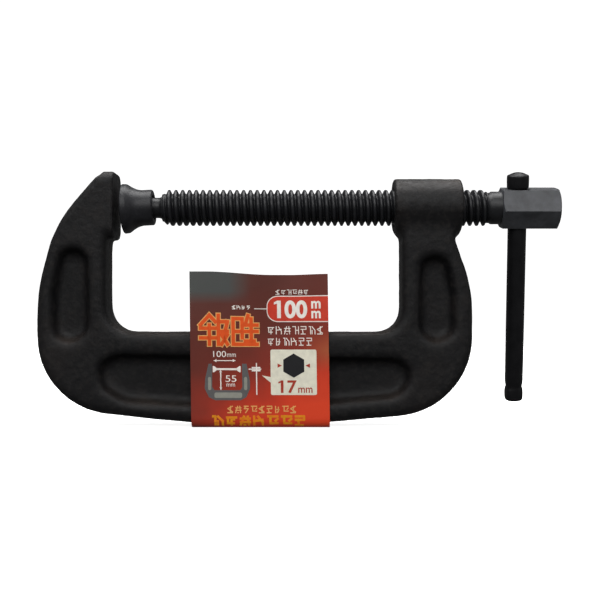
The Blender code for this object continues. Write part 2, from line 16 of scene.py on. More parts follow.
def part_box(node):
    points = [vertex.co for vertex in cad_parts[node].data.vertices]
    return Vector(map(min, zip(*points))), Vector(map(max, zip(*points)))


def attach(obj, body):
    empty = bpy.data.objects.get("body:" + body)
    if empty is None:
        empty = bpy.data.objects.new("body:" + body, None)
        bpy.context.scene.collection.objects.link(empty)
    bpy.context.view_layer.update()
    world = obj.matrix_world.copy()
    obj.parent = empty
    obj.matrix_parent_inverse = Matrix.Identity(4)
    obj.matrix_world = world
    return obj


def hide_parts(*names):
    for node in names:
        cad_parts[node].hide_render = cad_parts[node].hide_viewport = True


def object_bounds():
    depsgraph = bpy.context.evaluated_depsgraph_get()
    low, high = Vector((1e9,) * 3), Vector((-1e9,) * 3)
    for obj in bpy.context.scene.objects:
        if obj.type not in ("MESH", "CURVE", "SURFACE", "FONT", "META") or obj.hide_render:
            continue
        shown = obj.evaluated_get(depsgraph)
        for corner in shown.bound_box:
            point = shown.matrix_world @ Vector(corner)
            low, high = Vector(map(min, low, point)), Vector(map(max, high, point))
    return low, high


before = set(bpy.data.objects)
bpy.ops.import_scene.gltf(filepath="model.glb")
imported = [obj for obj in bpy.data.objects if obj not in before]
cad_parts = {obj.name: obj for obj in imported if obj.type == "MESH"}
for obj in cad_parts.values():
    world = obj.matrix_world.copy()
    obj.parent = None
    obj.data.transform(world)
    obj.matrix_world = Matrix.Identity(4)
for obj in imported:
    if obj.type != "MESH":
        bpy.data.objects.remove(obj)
cad_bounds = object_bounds()

MM = 0.001
DEG = math.pi / 180

# ------------------------------------------------------------------ sizes, the CAD's unless noted
ANVIL_STAND = 3.3 * MM
ANVIL_TOP = 15.5 * MM
ANVIL_BOTTOM = -14.2 * MM
ANVIL_CORNER = 5 * MM
ANVIL_SET_IN = 0.1 * MM
ANVIL_FULL = 1.7 * MM
ANVIL_TAPER = 4.6 * MM
FRAME_THICK = 21 * MM
EDGE_ROUND = 2.8 * MM
JAW_TOP = 13.7 * MM
LEFT_ARM = 30 * MM
RIGHT_ARM = 30.8 * MM
THROAT = 55 * MM
SPINE_DEPTH = 40.6 * MM
SPINE_BOW = 1.95 * MM
THROAT_ROUND_LEFT = 11.5 * MM
THROAT_ROUND_RIGHT = 10 * MM
BOSS_LENGTH = 30 * MM
BOSS_OVERHANG = 3.2 * MM
BOSS_RADIUS = 12.8 * MM
BOSS_ROUND = 1 * MM  # tighter than the CAD's
POCKET_DEPTH = 5.5 * MM
RIM = 6.8 * MM
RIGHT_RIM = 7.7 * MM
LEFT_WEB = 7.2 * MM
RIGHT_WEB = 7.4 * MM

THREAD_PITCH = 3 * MM
THREAD_RADIUS = 8 * MM
THREAD_DEPTH = 1.95 * MM  # deeper than the CAD's, whose crests are flat
THREAD_PAST_BOSS = 12.8 * MM
CREST_FLAT = 0.2  # half the pitch is 1: where a crest starts to fall
ROOT_FLAT = 1.05  # and where the root would be reached
BORE_MAJOR = 8.6 * MM
BORE_MINOR = 6.9 * MM
HEX_FLATS = 17 * MM
HEX_LENGTH = 25.5 * MM
HEX_ROLL = 14 * DEG
SHANK_RADIUS = 7.25 * MM
SHANK_LENGTH = 4.7 * MM
BALL_RADIUS = 5.2 * MM
NECK_RADIUS = 4.5 * MM
NECK_ROOT = 5.2 * MM
NECK_SHOWN = 4 * MM

PAD_RADIUS = 11 * MM
PAD_RIM = 2.8 * MM
PAD_FLARE = 6.7 * MM
PAD_COLLAR = 7.905 * MM
PAD_DROOP = 3 * DEG
SOCKET_RADIUS = 5.5 * MM

BAR_RADIUS = 4.1 * MM
BAR_LEAN = 1.9 * DEG
BAR_HOLE_AT = 7.8 * MM
BAR_BELOW = 90.2 * MM
BAR_HEAD_HEIGHT = 7.1 * MM
BAR_SWAGE = 7.5 * MM
FIT_GAP = 0.3 * MM

CARD_THICK = 0.5 * MM

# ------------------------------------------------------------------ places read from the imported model
screw_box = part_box("screw")
ring_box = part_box("pad_retaining_ring")
card_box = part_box("card_sleeve")

arm_left_x = -ANVIL_STAND
frame_left_x = arm_left_x - LEFT_ARM
hex_end_x = screw_box[1].x
hex_start_x = hex_end_x - HEX_LENGTH
thread_end_x = hex_start_x - SHANK_LENGTH
boss_right_x = thread_end_x - THREAD_PAST_BOSS
boss_left_x = boss_right_x - BOSS_LENGTH
arm_right_x = boss_left_x + BOSS_OVERHANG
frame_right_x = arm_right_x + RIGHT_ARM
spine_top_z = -THROAT
spine_bottom_z = -THROAT - SPINE_DEPTH
half_thick = FRAME_THICK / 2
ball_x = screw_box[0].x + BALL_RADIUS
bar_x = hex_start_x + BAR_HOLE_AT
pad_length = 13.8 * MM
rest_opening = 2.6 * MM
thread_start_x = rest_opening + pad_length + NECK_SHOWN
seat_depth = ball_x - rest_opening
bar_hole_radius = BAR_RADIUS + HEX_FLATS * math.tan(BAR_LEAN) / 2 + 0.15 * MM


# ------------------------------------------------------------------ outlines
def arc_between(centre, start, end, step):
    first = start - centre
    last = end - centre
    turn = math.atan2(first.x * last.y - first.y * last.x, first.dot(last))
    steps = max(2, math.ceil(abs(turn) / step))
    return [centre + Matrix.Rotation(turn * k / steps, 2) @ first for k in range(steps + 1)]


def quarter(steps, first=0):
    """(sine, cosine) at equal steps through a right angle."""
    turns = (k / steps * math.pi / 2 for k in range(first, steps + 1))
    return [(math.sin(turn), math.cos(turn)) for turn in turns]


def rounded_corner(before, corner, after, radius, step):
    """The arc of that radius that takes the corner's place."""
    back = (before - corner).normalized()
    ahead = (after - corner).normalized()
    half = back.angle(ahead) / 2
    reach = radius / math.tan(half)
    centre = corner + (back + ahead).normalized() * (radius / math.sin(half))
    return arc_between(centre, corner + back * reach, corner + ahead * reach, step)


def rounded_outline(corners, step):
    """A closed polygon given as (u, v, radius) corners, with an arc of that radius at each."""
    places = [Vector(corner[:2]) for corner in corners]
    points = []
    for i, corner in enumerate(corners):
        after = places[(i + 1) % len(places)]
        points += rounded_corner(places[i - 1], places[i], after, corner[2], step)
    return points


def moved_out(points, distance):
    """A counterclockwise outline moved outward by distance, every edge staying parallel."""
    moved = []
    for i, point in enumerate(points):
        into = (point - points[i - 1]).normalized()
        out_of = (points[(i + 1) % len(points)] - point).normalized()
        first = Vector((into.y, -into.x))
        second = Vector((out_of.y, -out_of.x))
        moved.append(point + (first + second) * (distance / (1 + first.dot(second))))
    return moved


# ------------------------------------------------------------------ meshes and objects
def mesh_object(name, bm, location=(0, 0, 0), rotation=None, smooth=True):
    bmesh.ops.remove_doubles(bm, verts=bm.verts, dist=1e-7)
    bmesh.ops.recalc_face_normals(bm, faces=bm.faces)
    mesh = bpy.data.meshes.new(name)
    bm.to_mesh(mesh)
    bm.free()
    mesh.transform(Matrix.Translation(location) @ (rotation or Matrix()))
    if smooth:
        mesh.shade_smooth()
    obj = bpy.data.objects.new(name, mesh)
    bpy.context.scene.collection.objects.link(obj)
    return obj


def lofted(rings):
    """One closed body through rings of equally many points, filled at the first and the last."""
    bm = bmesh.new()
    loops = [[bm.verts.new(point) for point in ring] for ring in rings]
    for lower, upper in zip(loops, loops[1:]):
        for i in range(len(lower)):
            bm.faces.new((lower[i - 1], lower[i], upper[i], upper[i - 1]))
    bm.faces.new(loops[0])
    bm.faces.new(loops[-1])
    return bm


def turned(profile, segments):
    """A body of revolution about X, from (x, radius) points that run from one end to the other."""
    rings = []
    for x, radius in profile:
        angles = (2 * math.pi * k / segments for k in range(segments))
        rings.append([(x, radius * math.cos(a), radius * math.sin(a)) for a in angles])
    return lofted(rings)


def plate(outline, levels):
    """A body through the thickness: outline in XZ, and (y, outward offset) for each level."""
    return lofted([[(p.x, y, p.y) for p in moved_out(outline, offset)] for y, offset in levels])


def combine(obj, other, operation):
    modifier = obj.modifiers.new(other.name, "BOOLEAN")
    modifier.operation = operation
    modifier.solver = "EXACT"
    modifier.object = other


def bake_modifiers(obj):
    """Replaces obj's mesh by what its modifiers make of it."""
    bpy.context.view_layer.update()
    evaluated = obj.evaluated_get(bpy.context.evaluated_depsgraph_get())
    mesh = bpy.data.meshes.new_from_object(evaluated)
    obj.modifiers.clear()
    old = obj.data
    obj.data = mesh
    bpy.data.meshes.remove(old)


def drop(objects):
    for obj in objects:
        mesh = obj.data
        bpy.data.objects.remove(obj)
        bpy.data.meshes.remove(mesh)


def coordinates(mesh):
    points = np.empty(len(mesh.vertices) * 3)
    mesh.vertices.foreach_get("co", points)
    return points.reshape(-1, 3)


def normals(mesh):
    found = np.empty(len(mesh.vertices) * 3)
    mesh.vertices.foreach_get("normal", found)
    return found.reshape(-1, 3)


def set_coordinates(mesh, points):
    mesh.vertices.foreach_set("co", points.ravel())
    mesh.update()


def relaxed(mesh, points, weights, rounds):
    """Moves each point towards the mean of its neighbours, by its own weight, for some rounds."""
    ends = np.empty(len(mesh.edges) * 2, np.int64)
    mesh.edges.foreach_get("vertices", ends)
    ends = ends.reshape(-1, 2)
    count = np.bincount(ends.ravel(), minlength=len(points)).astype(float)[:, None]
    for _ in range(rounds):
        total = np.stack(
            [
                np.bincount(ends[:, 0], points[ends[:, 1], axis], len(points))
                + np.bincount(ends[:, 1], points[ends[:, 0], axis], len(points))
                for axis in range(3)
            ],
            axis=1,
        )
        points = points + weights[:, None] * (total / count - points)
    return points


def rough_field(points, size, seed, octaves):
    """Smooth noise at each point, with bumps about size across."""
    shift = Vector((seed * 7.1, seed * 3.3, seed * 5.7))
    return np.array([noise.fractal(Vector(p) / size + shift, 1.0, 2.0, octaves) for p in points])


# ------------------------------------------------------------------ frame
def frame_outline():
    deep = spine_bottom_z - SPINE_BOW
    width = frame_right_x - frame_left_x
    return rounded_outline(
        [
            (arm_left_x + 2.3 * MM, JAW_TOP, 3 * MM),
            (arm_left_x - 3.9 * MM, JAW_TOP, 3.6 * MM),
            (frame_left_x + 7.8 * MM, JAW_TOP - 21 * MM, 60 * MM),
            (frame_left_x - 0.3 * MM, JAW_TOP - 50 * MM, 80 * MM),
            (frame_left_x - 0.3 * MM, spine_bottom_z + 8 * MM, 34 * MM),
            (frame_left_x + 0.485 * width, deep, 410 * MM),
            (frame_right_x + 0.2 * MM, spine_bottom_z + 6.6 * MM, 35 * MM),
            (frame_right_x + 0.2 * MM, -36 * MM, 60 * MM),
            (boss_right_x - 3.5 * MM, -14.4 * MM, 3 * MM),
            (boss_right_x - 2.6 * MM, 0, 3.5 * MM),
            (arm_right_x, 0, 3.5 * MM),
            (arm_right_x, spine_top_z, THROAT_ROUND_RIGHT),
            (arm_left_x, spine_top_z, THROAT_ROUND_LEFT),
            (arm_left_x, ANVIL_BOTTOM - 3 * MM, 8 * MM),
        ],
        1.5 * DEG,
    )


def pocket_outlines():
    left = frame_left_x + RIM
    right = frame_right_x - RIGHT_RIM
    inner_left = arm_left_x - LEFT_WEB
    inner_right = arm_right_x + RIGHT_WEB
    arm_foot = spine_top_z - 4.6 * MM
    low = spine_bottom_z + 8.4 * MM
    left_wide = inner_left - left
    right_wide = right - inner_right
    left_arm = [
        (left + 0.22 * left_wide, -18 * MM, 0.37 * left_wide),
        (left - 0.2 * MM, -37 * MM, 18 * MM),
        (left, arm_foot + 2.2 * MM, 0.37 * left_wide),
        (left + 0.5 * left_wide, arm_foot - 0.4 * MM, 0.3 * left_wide),
        (inner_left, arm_foot + 4 * MM, 0.4 * left_wide),
        (inner_left - 0.4 * MM, -19 * MM, 0.4 * left_wide),
    ]
    right_arm = [
        (right - 0.24 * right_wide, -21.4 * MM, 0.33 * right_wide),
        (inner_right + 0.3 * MM, -21.9 * MM, 0.36 * right_wide),
        (inner_right - 0.2 * MM, arm_foot + 4 * MM, 0.4 * right_wide),
        (inner_right + 0.5 * right_wide, arm_foot - 0.8 * MM, 0.32 * right_wide),
        (right, arm_foot + 4 * MM, 0.37 * right_wide),
        (right, -38 * MM, 20 * MM),
    ]
    spine = [
        (arm_left_x - 4.4 * MM, spine_top_z - 14 * MM, 7 * MM),
        (arm_left_x - 1.6 * MM, low + 7.5 * MM, 7 * MM),
        (arm_left_x + 8.5 * MM, low + 1.6 * MM, 12 * MM),
        ((frame_left_x + frame_right_x) / 2, low - 1.6 * MM, 300 * MM),
        (arm_right_x - 1 * MM, low + 3.6 * MM, 9 * MM),
        (arm_right_x + 5.5 * MM, spine_top_z - 18 * MM, 7 * MM),
        (arm_right_x - 1 * MM, spine_top_z - 11.4 * MM, 6 * MM),
        (arm_left_x + 4 * MM, spine_top_z - 9.6 * MM, 7 * MM),
    ]
    return [rounded_outline(corners, 3 * DEG) for corners in (left_arm, right_arm, spine)]


def edge_levels(side):
    levels = []
    for sine, cosine in quarter(8):
        y = half_thick - EDGE_ROUND * (1 - sine)
        levels.append((side * y, -EDGE_ROUND * (1 - cosine)))
    return levels


def pocket_levels(side):
    """A pocket's wall in section: a wide rounded rim that runs over into a rounded foot."""
    levels = [(half_thick + 1 * MM, 0.8 * MM)]
    for k in range(13):
        t = k / 12
        y = half_thick - POCKET_DEPTH * (3 * t * t - 2 * t * t * t)
        levels.append((y, (0.8 - 3 * t) * MM))
    return [(side * y, offset) for y, offset in levels]


def anvil_block():
    half = half_thick - ANVIL_SET_IN
    face = rounded_outline(
        [
            (-half, ANVIL_BOTTOM, ANVIL_CORNER),
            (half, ANVIL_BOTTOM, ANVIL_CORNER),
            (half, ANVIL_TOP, ANVIL_CORNER),
            (-half, ANVIL_TOP, ANVIL_CORNER),
        ],
        5 * DEG,
    )
    full = arm_left_x - ANVIL_FULL
    levels = [(full - ANVIL_TAPER, -ANVIL_TAPER), (full, 0)]
    levels += [(-0.5 * MM, 0), (-0.15 * MM, -0.15 * MM), (0, -0.5 * MM)]
    return lofted([[(x, p.x, p.y) for p in moved_out(face, offset)] for x, offset in levels])


def boss():
    profile = [(BOSS_ROUND * (1 - s), BOSS_RADIUS - BOSS_ROUND * (1 - c)) for s, c in quarter(6)]
    profile.reverse()
    near = [(boss_left_x + x, r) for x, r in profile]
    far = [(boss_right_x - x, r) for x, r in profile]
    return turned(near + far[::-1], 96)


FRAME_VOXEL = 0.0007
ALL_ROUNDS = 5  # rounds of smoothing for the whole forging
LOW_ROUNDS = 26  # more of them below the jaw and the boss
FOOT_ROUNDS = 30  # and more round the boss's foot
LOW_FROM = -13 * MM
LOW_FULL = -24 * MM
SKIN_PULL = 0.5  # how far a point goes towards its neighbours' mean in one round
EDGE_PULL = 0.22
BORE_PULL = 0.15
FOOT_PULL = 0.6
LUMPS = ((9 * MM, 1, 3, 0.09), (2.6 * MM, 2, 3, 0.055), (1.1 * MM, 3, 2, 0.03))  # size, seed, octaves, mm
SKIN_IN = 0.03 * MM  # the skin is set in by this, so that its lumps stay near the CAD's box


def build_frame():
    outline = frame_outline()
    body = mesh_object("frame_forging", plate(outline, edge_levels(-1)[::-1] + edge_levels(1)))
    helpers = [mesh_object("boss_shape", boss()), mesh_object("anvil_shape", anvil_block())]
    for helper in helpers:
        combine(body, helper, "UNION")
    for pocket in pocket_outlines():
        for side in (-1, 1):
            helpers.append(mesh_object("pocket_cutter", plate(pocket, pocket_levels(side))))
            combine(body, helpers[-1], "DIFFERENCE")
    reach = 2 * THREAD_PITCH
    ends = (boss_left_x - reach, boss_right_x + reach)
    cutter = threaded_body(*ends, BORE_MINOR, BORE_MAJOR, THREAD_PITCH, 40, 8)
    helpers.append(mesh_object("thread_cutter", cutter))
    combine(body, helpers[-1], "DIFFERENCE")
    for face, way in ((boss_left_x, 1), (boss_right_x, -1)):
        wide = BORE_MAJOR + 0.4 * MM
        cone = turned([(face - way * MM, wide + MM), (face + way * (wide - BORE_MINOR), BORE_MINOR)], 64)
        helpers.append(mesh_object("mouth_cutter", cone))
        combine(body, helpers[-1], "DIFFERENCE")
    bake_modifiers(body)
    drop(helpers)
    remesh = body.modifiers.new("even_mesh", "REMESH")
    remesh.mode = "VOXEL"
    remesh.voxel_size = FRAME_VOXEL
    remesh.adaptivity = 0
    bake_modifiers(body)
    mesh = body.data
    points = coordinates(mesh)
    # The forging's blends are wide at the boss's foot and round the pockets, and tight on the jaw.
    x, y, z = points.T
    radius = np.hypot(y, z)
    foot = np.exp(-(((radius - BOSS_RADIUS) / (3.5 * MM)) ** 2)) * (z < -3 * MM) * (x > boss_left_x - 2 * MM)
    inside_bore = (radius < BORE_MAJOR + 1.4 * MM) & (x > boss_left_x - MM) & (x < boss_right_x + MM)
    on_boss = (x > boss_left_x - MM) & (x < boss_right_x + MM) & (z > -7 * MM)
    on_anvil = (x > -5 * MM) & (x < 2 * MM)
    outside = np.where(on_boss | on_anvil, EDGE_PULL, SKIN_PULL)
    points = relaxed(mesh, points, np.where(inside_bore, BORE_PULL, outside), ALL_ROUNDS)
    points = relaxed(mesh, points, SKIN_PULL * (1 - smooth(z, LOW_FULL, LOW_FROM)), LOW_ROUNDS)
    points = relaxed(mesh, points, np.where(inside_bore, 0, np.clip(foot, 0, 1) * FOOT_PULL), FOOT_ROUNDS)
    set_coordinates(mesh, points)
    lumps = sum(rough_field(points, size, seed, octaves) * high for size, seed, octaves, high in LUMPS)
    points = points + normals(mesh) * (lumps * (~inside_bore) * MM - SKIN_IN)[:, None]
    set_coordinates(mesh, points)
    mesh.shade_smooth()
    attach(body, "frame")
    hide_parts("frame")
    return body


# ------------------------------------------------------------------ screw thread
def thread_profile(root, crest, points):
    """(axial fraction of the pitch, radius) once across a thread with round crests and a round root."""
    rows = []
    for k in range(points):
        t = k / points
        away = abs(2 * t - 1)
        rows.append((t, crest - (crest - root) * smooth(away, CREST_FLAT, ROOT_FLAT)))
    return rows


def threaded_body(start, end, root, crest, runout, segments, points):
    """A right-hand threaded rod along X, fading to its root at both ends, crests in step with the CAD's."""
    profile = thread_profile(root, crest, points)
    first_turn = math.floor(start / THREAD_PITCH) - 1
    last_turn = math.ceil(end / THREAD_PITCH) + 1
    rows = [((n + t) * THREAD_PITCH, radius) for n in range(first_turn, last_turn) for t, radius in profile]
    bm = bmesh.new()
    grid = []
    for along, radius in rows:
        row = []
        for k in range(segments):
            x = min(max(along + THREAD_PITCH * k / segments, start), end)
            fade = min(1, (x - start) / runout, (end - x) / runout)
            fade = fade * fade * (3 - 2 * fade)
            r = root + (radius - root) * fade
            angle = 2 * math.pi * k / segments
            row.append(bm.verts.new((x, r * math.cos(angle), r * math.sin(angle))))
        grid.append(row)

    def vertex(row, k):
        return grid[row][k] if k < segments else grid[row + points][0]

    for row in range(len(grid) - 1 - points):
        for k in range(segments):
            corners = (vertex(row, k), vertex(row, k + 1), vertex(row + 1, k + 1), vertex(row + 1, k))
            bm.faces.new(corners)
    bmesh.ops.remove_doubles(bm, verts=bm.verts, dist=1e-6)
    bmesh.ops.dissolve_degenerate(bm, dist=1e-7, edges=bm.edges)
    bmesh.ops.delete(bm, geom=[v for v in bm.verts if not v.link_faces], context="VERTS")
    bmesh.ops.holes_fill(bm, edges=[e for e in bm.edges if e.is_boundary], sides=0)
    return bm


# ------------------------------------------------------------------ screw
def hole_direction():
    """Turns X onto the line square to the hex's upper flat."""
    return Matrix.Rotation(HEX_ROLL, 4, "X") @ Matrix.Rotation(-90 * DEG, 4, "Y")


def arc_profile(centre_x, radius, start, end, steps):
    points = []
    for k in range(steps + 1):
        turn = start + (end - start) * k / steps
        points.append((centre_x - radius * math.cos(turn), radius * math.sin(turn)))
    return points


def build_screw():
    root = THREAD_RADIUS - THREAD_DEPTH
    rod = threaded_body(
        thread_start_x, thread_end_x, root, THREAD_RADIUS, THREAD_PITCH * 0.9, 72, 14
    )
    thread = mesh_object("screw_thread", rod)
    behind = math.asin(NECK_RADIUS / BALL_RADIUS)
    profile = arc_profile(ball_x, BALL_RADIUS, 2 * DEG, math.pi - behind, 24)
    neck_end = thread_start_x - 0.5 * NECK_SHOWN
    for k in range(1, 7):
        t = k / 6
        profile.append((neck_end + t * 0.5 * NECK_SHOWN, NECK_RADIUS + (NECK_ROOT - NECK_RADIUS) * t * t))
    profile.append((thread_start_x + THREAD_PITCH, NECK_ROOT))
    ball = mesh_object("screw_ball_neck", turned(profile, 64))

    shank_profile = [
        (thread_end_x - 2 * MM, SHANK_RADIUS - 0.6 * MM),
        (thread_end_x - 0.2 * MM, SHANK_RADIUS - 0.5 * MM),
        (thread_end_x + 0.5 * MM, SHANK_RADIUS),
        (hex_start_x - 0.6 * MM, SHANK_RADIUS),
        (hex_start_x + 0.3 * MM, SHANK_RADIUS + 0.35 * MM),
        (hex_start_x + 1 * MM, SHANK_RADIUS + 0.35 * MM),
    ]
    shank = mesh_object("screw_shank", turned(shank_profile, 64))

    apothem = HEX_FLATS / 2
    corner = apothem / math.cos(30 * DEG)
    sides = [120 * DEG + HEX_ROLL + 60 * DEG * k for k in range(6)]
    ends = (hex_start_x, hex_end_x)
    rings = [[(x, corner * math.cos(a), corner * math.sin(a)) for a in sides] for x in ends]
    prism = mesh_object("screw_hex", lofted(rings), smooth=False)
    flat_edge = apothem - 0.3 * MM
    chamfer = 0.75 * MM
    barrel = [
        (hex_start_x - MM, flat_edge - 0.1 * MM),
        (hex_start_x, flat_edge),
        (hex_start_x + chamfer, corner + 0.02 * MM),
        (hex_end_x - chamfer, corner + 0.02 * MM),
        (hex_end_x, flat_edge),
        (hex_end_x + MM, flat_edge - 0.1 * MM),
    ]
    turning = mesh_object("hex_turning", turned(barrel, 128))
    combine(prism, turning, "INTERSECT")
    half = HEX_FLATS
    mouth = apothem + 0.001 * MM
    wide = bar_hole_radius + 0.45 * MM
    hole_profile = [
        (-half, wide + half - mouth),
        (-mouth + 0.45 * MM, bar_hole_radius),
        (mouth - 0.45 * MM, bar_hole_radius),
        (half, wide + half - mouth),
    ]
    hole = mesh_object("hole_cutter", turned(hole_profile, 96), (bar_x, 0, 0), hole_direction())
    combine(prism, hole, "DIFFERENCE")
    bake_modifiers(prism)
    drop([turning, hole])
    bevel = prism.modifiers.new("edges", "BEVEL")
    bevel.width = 0.28 * MM
    bevel.segments = 3
    bevel.limit_method = "ANGLE"
    bevel.angle_limit = 20 * DEG
    bevel.harden_normals = False
    bake_modifiers(prism)
    prism.data.shade_smooth()
    prism.data.set_sharp_from_angle(angle=32 * DEG)
    flats = prism.modifiers.new("flats", "WEIGHTED_NORMAL")
    flats.keep_sharp = True
    bake_modifiers(prism)
    pieces = [thread, ball, shank, prism]
    for piece in pieces:
        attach(piece, "screw")
    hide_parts("screw")
    return pieces


# ------------------------------------------------------------------ swivel pad and ring
def build_pad():
    """The pad is turned about the ball's centre, and hangs PAD_DROOP off the screw's axis."""
    collar = PAD_COLLAR
    profile = [(0, 0.02 * MM), (0, PAD_RADIUS - 1.2 * MM), (0.12 * MM, PAD_RADIUS - 0.7 * MM)]
    for sine, cosine in quarter(6, 1):
        radius = PAD_RADIUS - 0.7 * MM + 0.7 * MM * sine
        profile.append((0.12 * MM + 0.6 * MM * (1 - cosine), radius))
    rim_end = PAD_RIM - 0.5 * MM
    for k in range(1, 6):
        profile.append((0.72 * MM + (rim_end - 0.72 * MM) * k / 5, PAD_RADIUS - 0.02 * MM * k))
    for k in range(25):
        t = k / 24
        fall = (1 - t) ** 2
        soft = 0.35 * MM * math.exp(-((t / 0.08) ** 2))
        radius = collar + (PAD_RADIUS - 0.2 * MM - collar) * fall - soft * 0.3
        profile.append((PAD_RIM + PAD_FLARE * t, radius))
    edge = 0.8 * MM
    profile += [(pad_length - edge + edge * s, collar - edge * (1 - c)) for s, c in quarter(6)]
    profile.append((pad_length, SOCKET_RADIUS + 0.3 * MM))
    profile.append((pad_length - 0.3 * MM, SOCKET_RADIUS))
    ring_x = (ring_box[0].x + ring_box[1].x) / 2 - rest_opening
    groove = 1.42 * MM
    profile += [
        (ring_x + groove, SOCKET_RADIUS),
        (ring_x + groove, 6.6 * MM),
        (ring_x - groove, 6.6 * MM),
        (ring_x - groove, SOCKET_RADIUS),
    ]
    for k in range(12):
        turn = 90 * DEG * k / 12
        profile.append((seat_depth - SOCKET_RADIUS * math.sin(turn), SOCKET_RADIUS * math.cos(turn)))
    profile.append((seat_depth - SOCKET_RADIUS, 0.02 * MM))
    bm = turned([(x - seat_depth, radius) for x, radius in profile], 96)
    pad = mesh_object("swivel_pad_turned", bm, (ball_x, 0, 0), Matrix.Rotation(-PAD_DROOP, 4, "Y"))
    pad.data.set_sharp_from_angle(angle=40 * DEG)
    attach(pad, "swivel_pad")
    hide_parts("swivel_pad")
    return pad


def build_ring():
    """A split ring of round wire, cut square at its ends."""
    wire = (ring_box[1].x - ring_box[0].x) / 2
    middle = (ring_box[0].x + ring_box[1].x) / 2
    radius = ring_box[1].y - wire
    split = 26 * DEG
    sweep = 2 * math.pi - split
    rings = []
    for k in range(73):
        angle = 90 * DEG + split / 2 + sweep * k / 72
        out = Vector((0, math.cos(angle), math.sin(angle)))
        centre = Vector((middle, 0, 0)) + out * radius
        ring = []
        for i in range(16):
            turn = 2 * math.pi * i / 16
            ring.append(centre + out * (wire * math.cos(turn)) + Vector((wire * math.sin(turn), 0, 0)))
        rings.append(ring)
    ring = mesh_object("spring_wire_ring", lofted(rings))
    ring.data.set_sharp_from_angle(angle=40 * DEG)
    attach(ring, "carrier")
    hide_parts("pad_retaining_ring")
    return ring


# ------------------------------------------------------------------ tommy bar
def bar_levels():
    """(height, radius, ridge) up the bar from its lower end, the screw's axis at height zero."""
    low = -BAR_BELOW
    head = HEX_FLATS / 2 + FIT_GAP
    top = head + BAR_HEAD_HEIGHT
    shaft = BAR_RADIUS
    swage = bar_hole_radius + 0.2 * MM
    ridge = swage - shaft
    widest = bar_hole_radius + 0.325 * MM
    levels = [(low, 0.02 * MM, 0), (low + 0.05 * MM, 0.4 * shaft, 0)]
    levels.append((low + 0.3 * MM, 0.75 * shaft, 0.2 * ridge))
    for k in range(1, 6):
        turn = k / 5 * math.pi / 2
        height = low + 0.4 * MM + 1.5 * MM * (1 - math.cos(turn))
        levels.append((height, (0.76 + 0.22 * math.sin(turn)) * swage, (0.3 + 0.6 * k / 5) * ridge))
    levels += [
        (low + 0.35 * BAR_SWAGE, swage, ridge),
        (low + 0.55 * BAR_SWAGE, swage, ridge),
        (low + 0.7 * BAR_SWAGE, 0.98 * swage, ridge),
        (low + 0.8 * BAR_SWAGE, 0.95 * swage, 0.8 * ridge),
        (low + 0.9 * BAR_SWAGE, 0.92 * shaft, 0.2 * ridge),
        (low + BAR_SWAGE, shaft - 0.3 * MM, 0),
        (low + 1.12 * BAR_SWAGE, shaft - 0.12 * MM, 0),
        (low + 1.3 * BAR_SWAGE, shaft, 0),
    ]
    for k in range(1, 40):
        levels.append((low + 1.3 * BAR_SWAGE + (head - low - 1.3 * BAR_SWAGE - 0.3 * MM) * k / 40, shaft, 0))
    levels += [(head - 0.25 * MM, shaft, 0), (head - 0.02 * MM, shaft + 0.1 * MM, 0)]
    levels += [(head, widest - 0.6 * MM, 0), (head + 0.15 * MM, widest - 0.25 * MM, 0)]
    levels.append((head + 0.6 * MM, widest - 0.08 * MM, 0))
    levels.append((head + 0.35 * BAR_HEAD_HEIGHT, widest - 0.02 * MM, 0))
    levels += [(head + 0.55 * BAR_HEAD_HEIGHT, widest, 0), (top - 1.9 * MM, widest - 0.06 * MM, 0)]
    for sine, cosine in quarter(8, 1):
        radius = widest - 0.9 * MM + 0.84 * MM * cosine
        levels.append((top - 1.9 * MM + 0.75 * MM * sine, radius, 0))
    for k in range(1, 6):
        t = k / 5
        radius = (widest - 0.9 * MM) * (1 - t) + 0.02 * MM
        levels.append((top - 1.15 * MM + 1.15 * MM * (1 - (1 - t) ** 2), radius, 0))
    return levels


def build_bar():
    segments = 64
    rings = []
    for height, radius, ridge in bar_levels():
        ring = []
        for k in range(segments):
            angle = 2 * math.pi * k / segments
            r = radius - ridge * (0.5 + 0.5 * math.cos(4 * angle)) ** 0.6
            ring.append((height, r * math.cos(angle), r * math.sin(angle)))
        rings.append(ring)
    lean = Matrix.Rotation(HEX_ROLL, 4, "X") @ Matrix.Rotation(-BAR_LEAN, 4, "Y")
    direction = lean @ Matrix.Rotation(-90 * DEG, 4, "Y")
    bar = mesh_object("tommy_bar_turned", lofted(rings), (bar_x, 0, 0), direction)
    bar.data.set_sharp_from_angle(angle=50 * DEG)
    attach(bar, "tommy_bar")
    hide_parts("tommy_bar")
    return bar


# ------------------------------------------------------------------ card sleeve
CARD_COLUMNS = 72
CARD_ROWS = 120
card_left = card_box[0].x
card_right = card_box[1].x
card_top = card_box[1].z
card_bottom = card_box[0].z
card_width = 60 * MM
card_height = card_top - card_bottom
card_drift = card_right - card_left - card_width
print_ratio = card_width / card_height
sheet_half = CARD_THICK * 0.46  # from the middle layer to each face


def rounded_path(corners, step):
    """An open line through (u, v, radius) corners, with an arc at each one but the ends."""
    places = [Vector(corner[:2]) for corner in corners]
    points = [places[0]]
    for i in range(1, len(places) - 1):
        points += rounded_corner(places[i - 1], places[i], places[i + 1], corners[i][2], step)
    return points + [places[-1]]


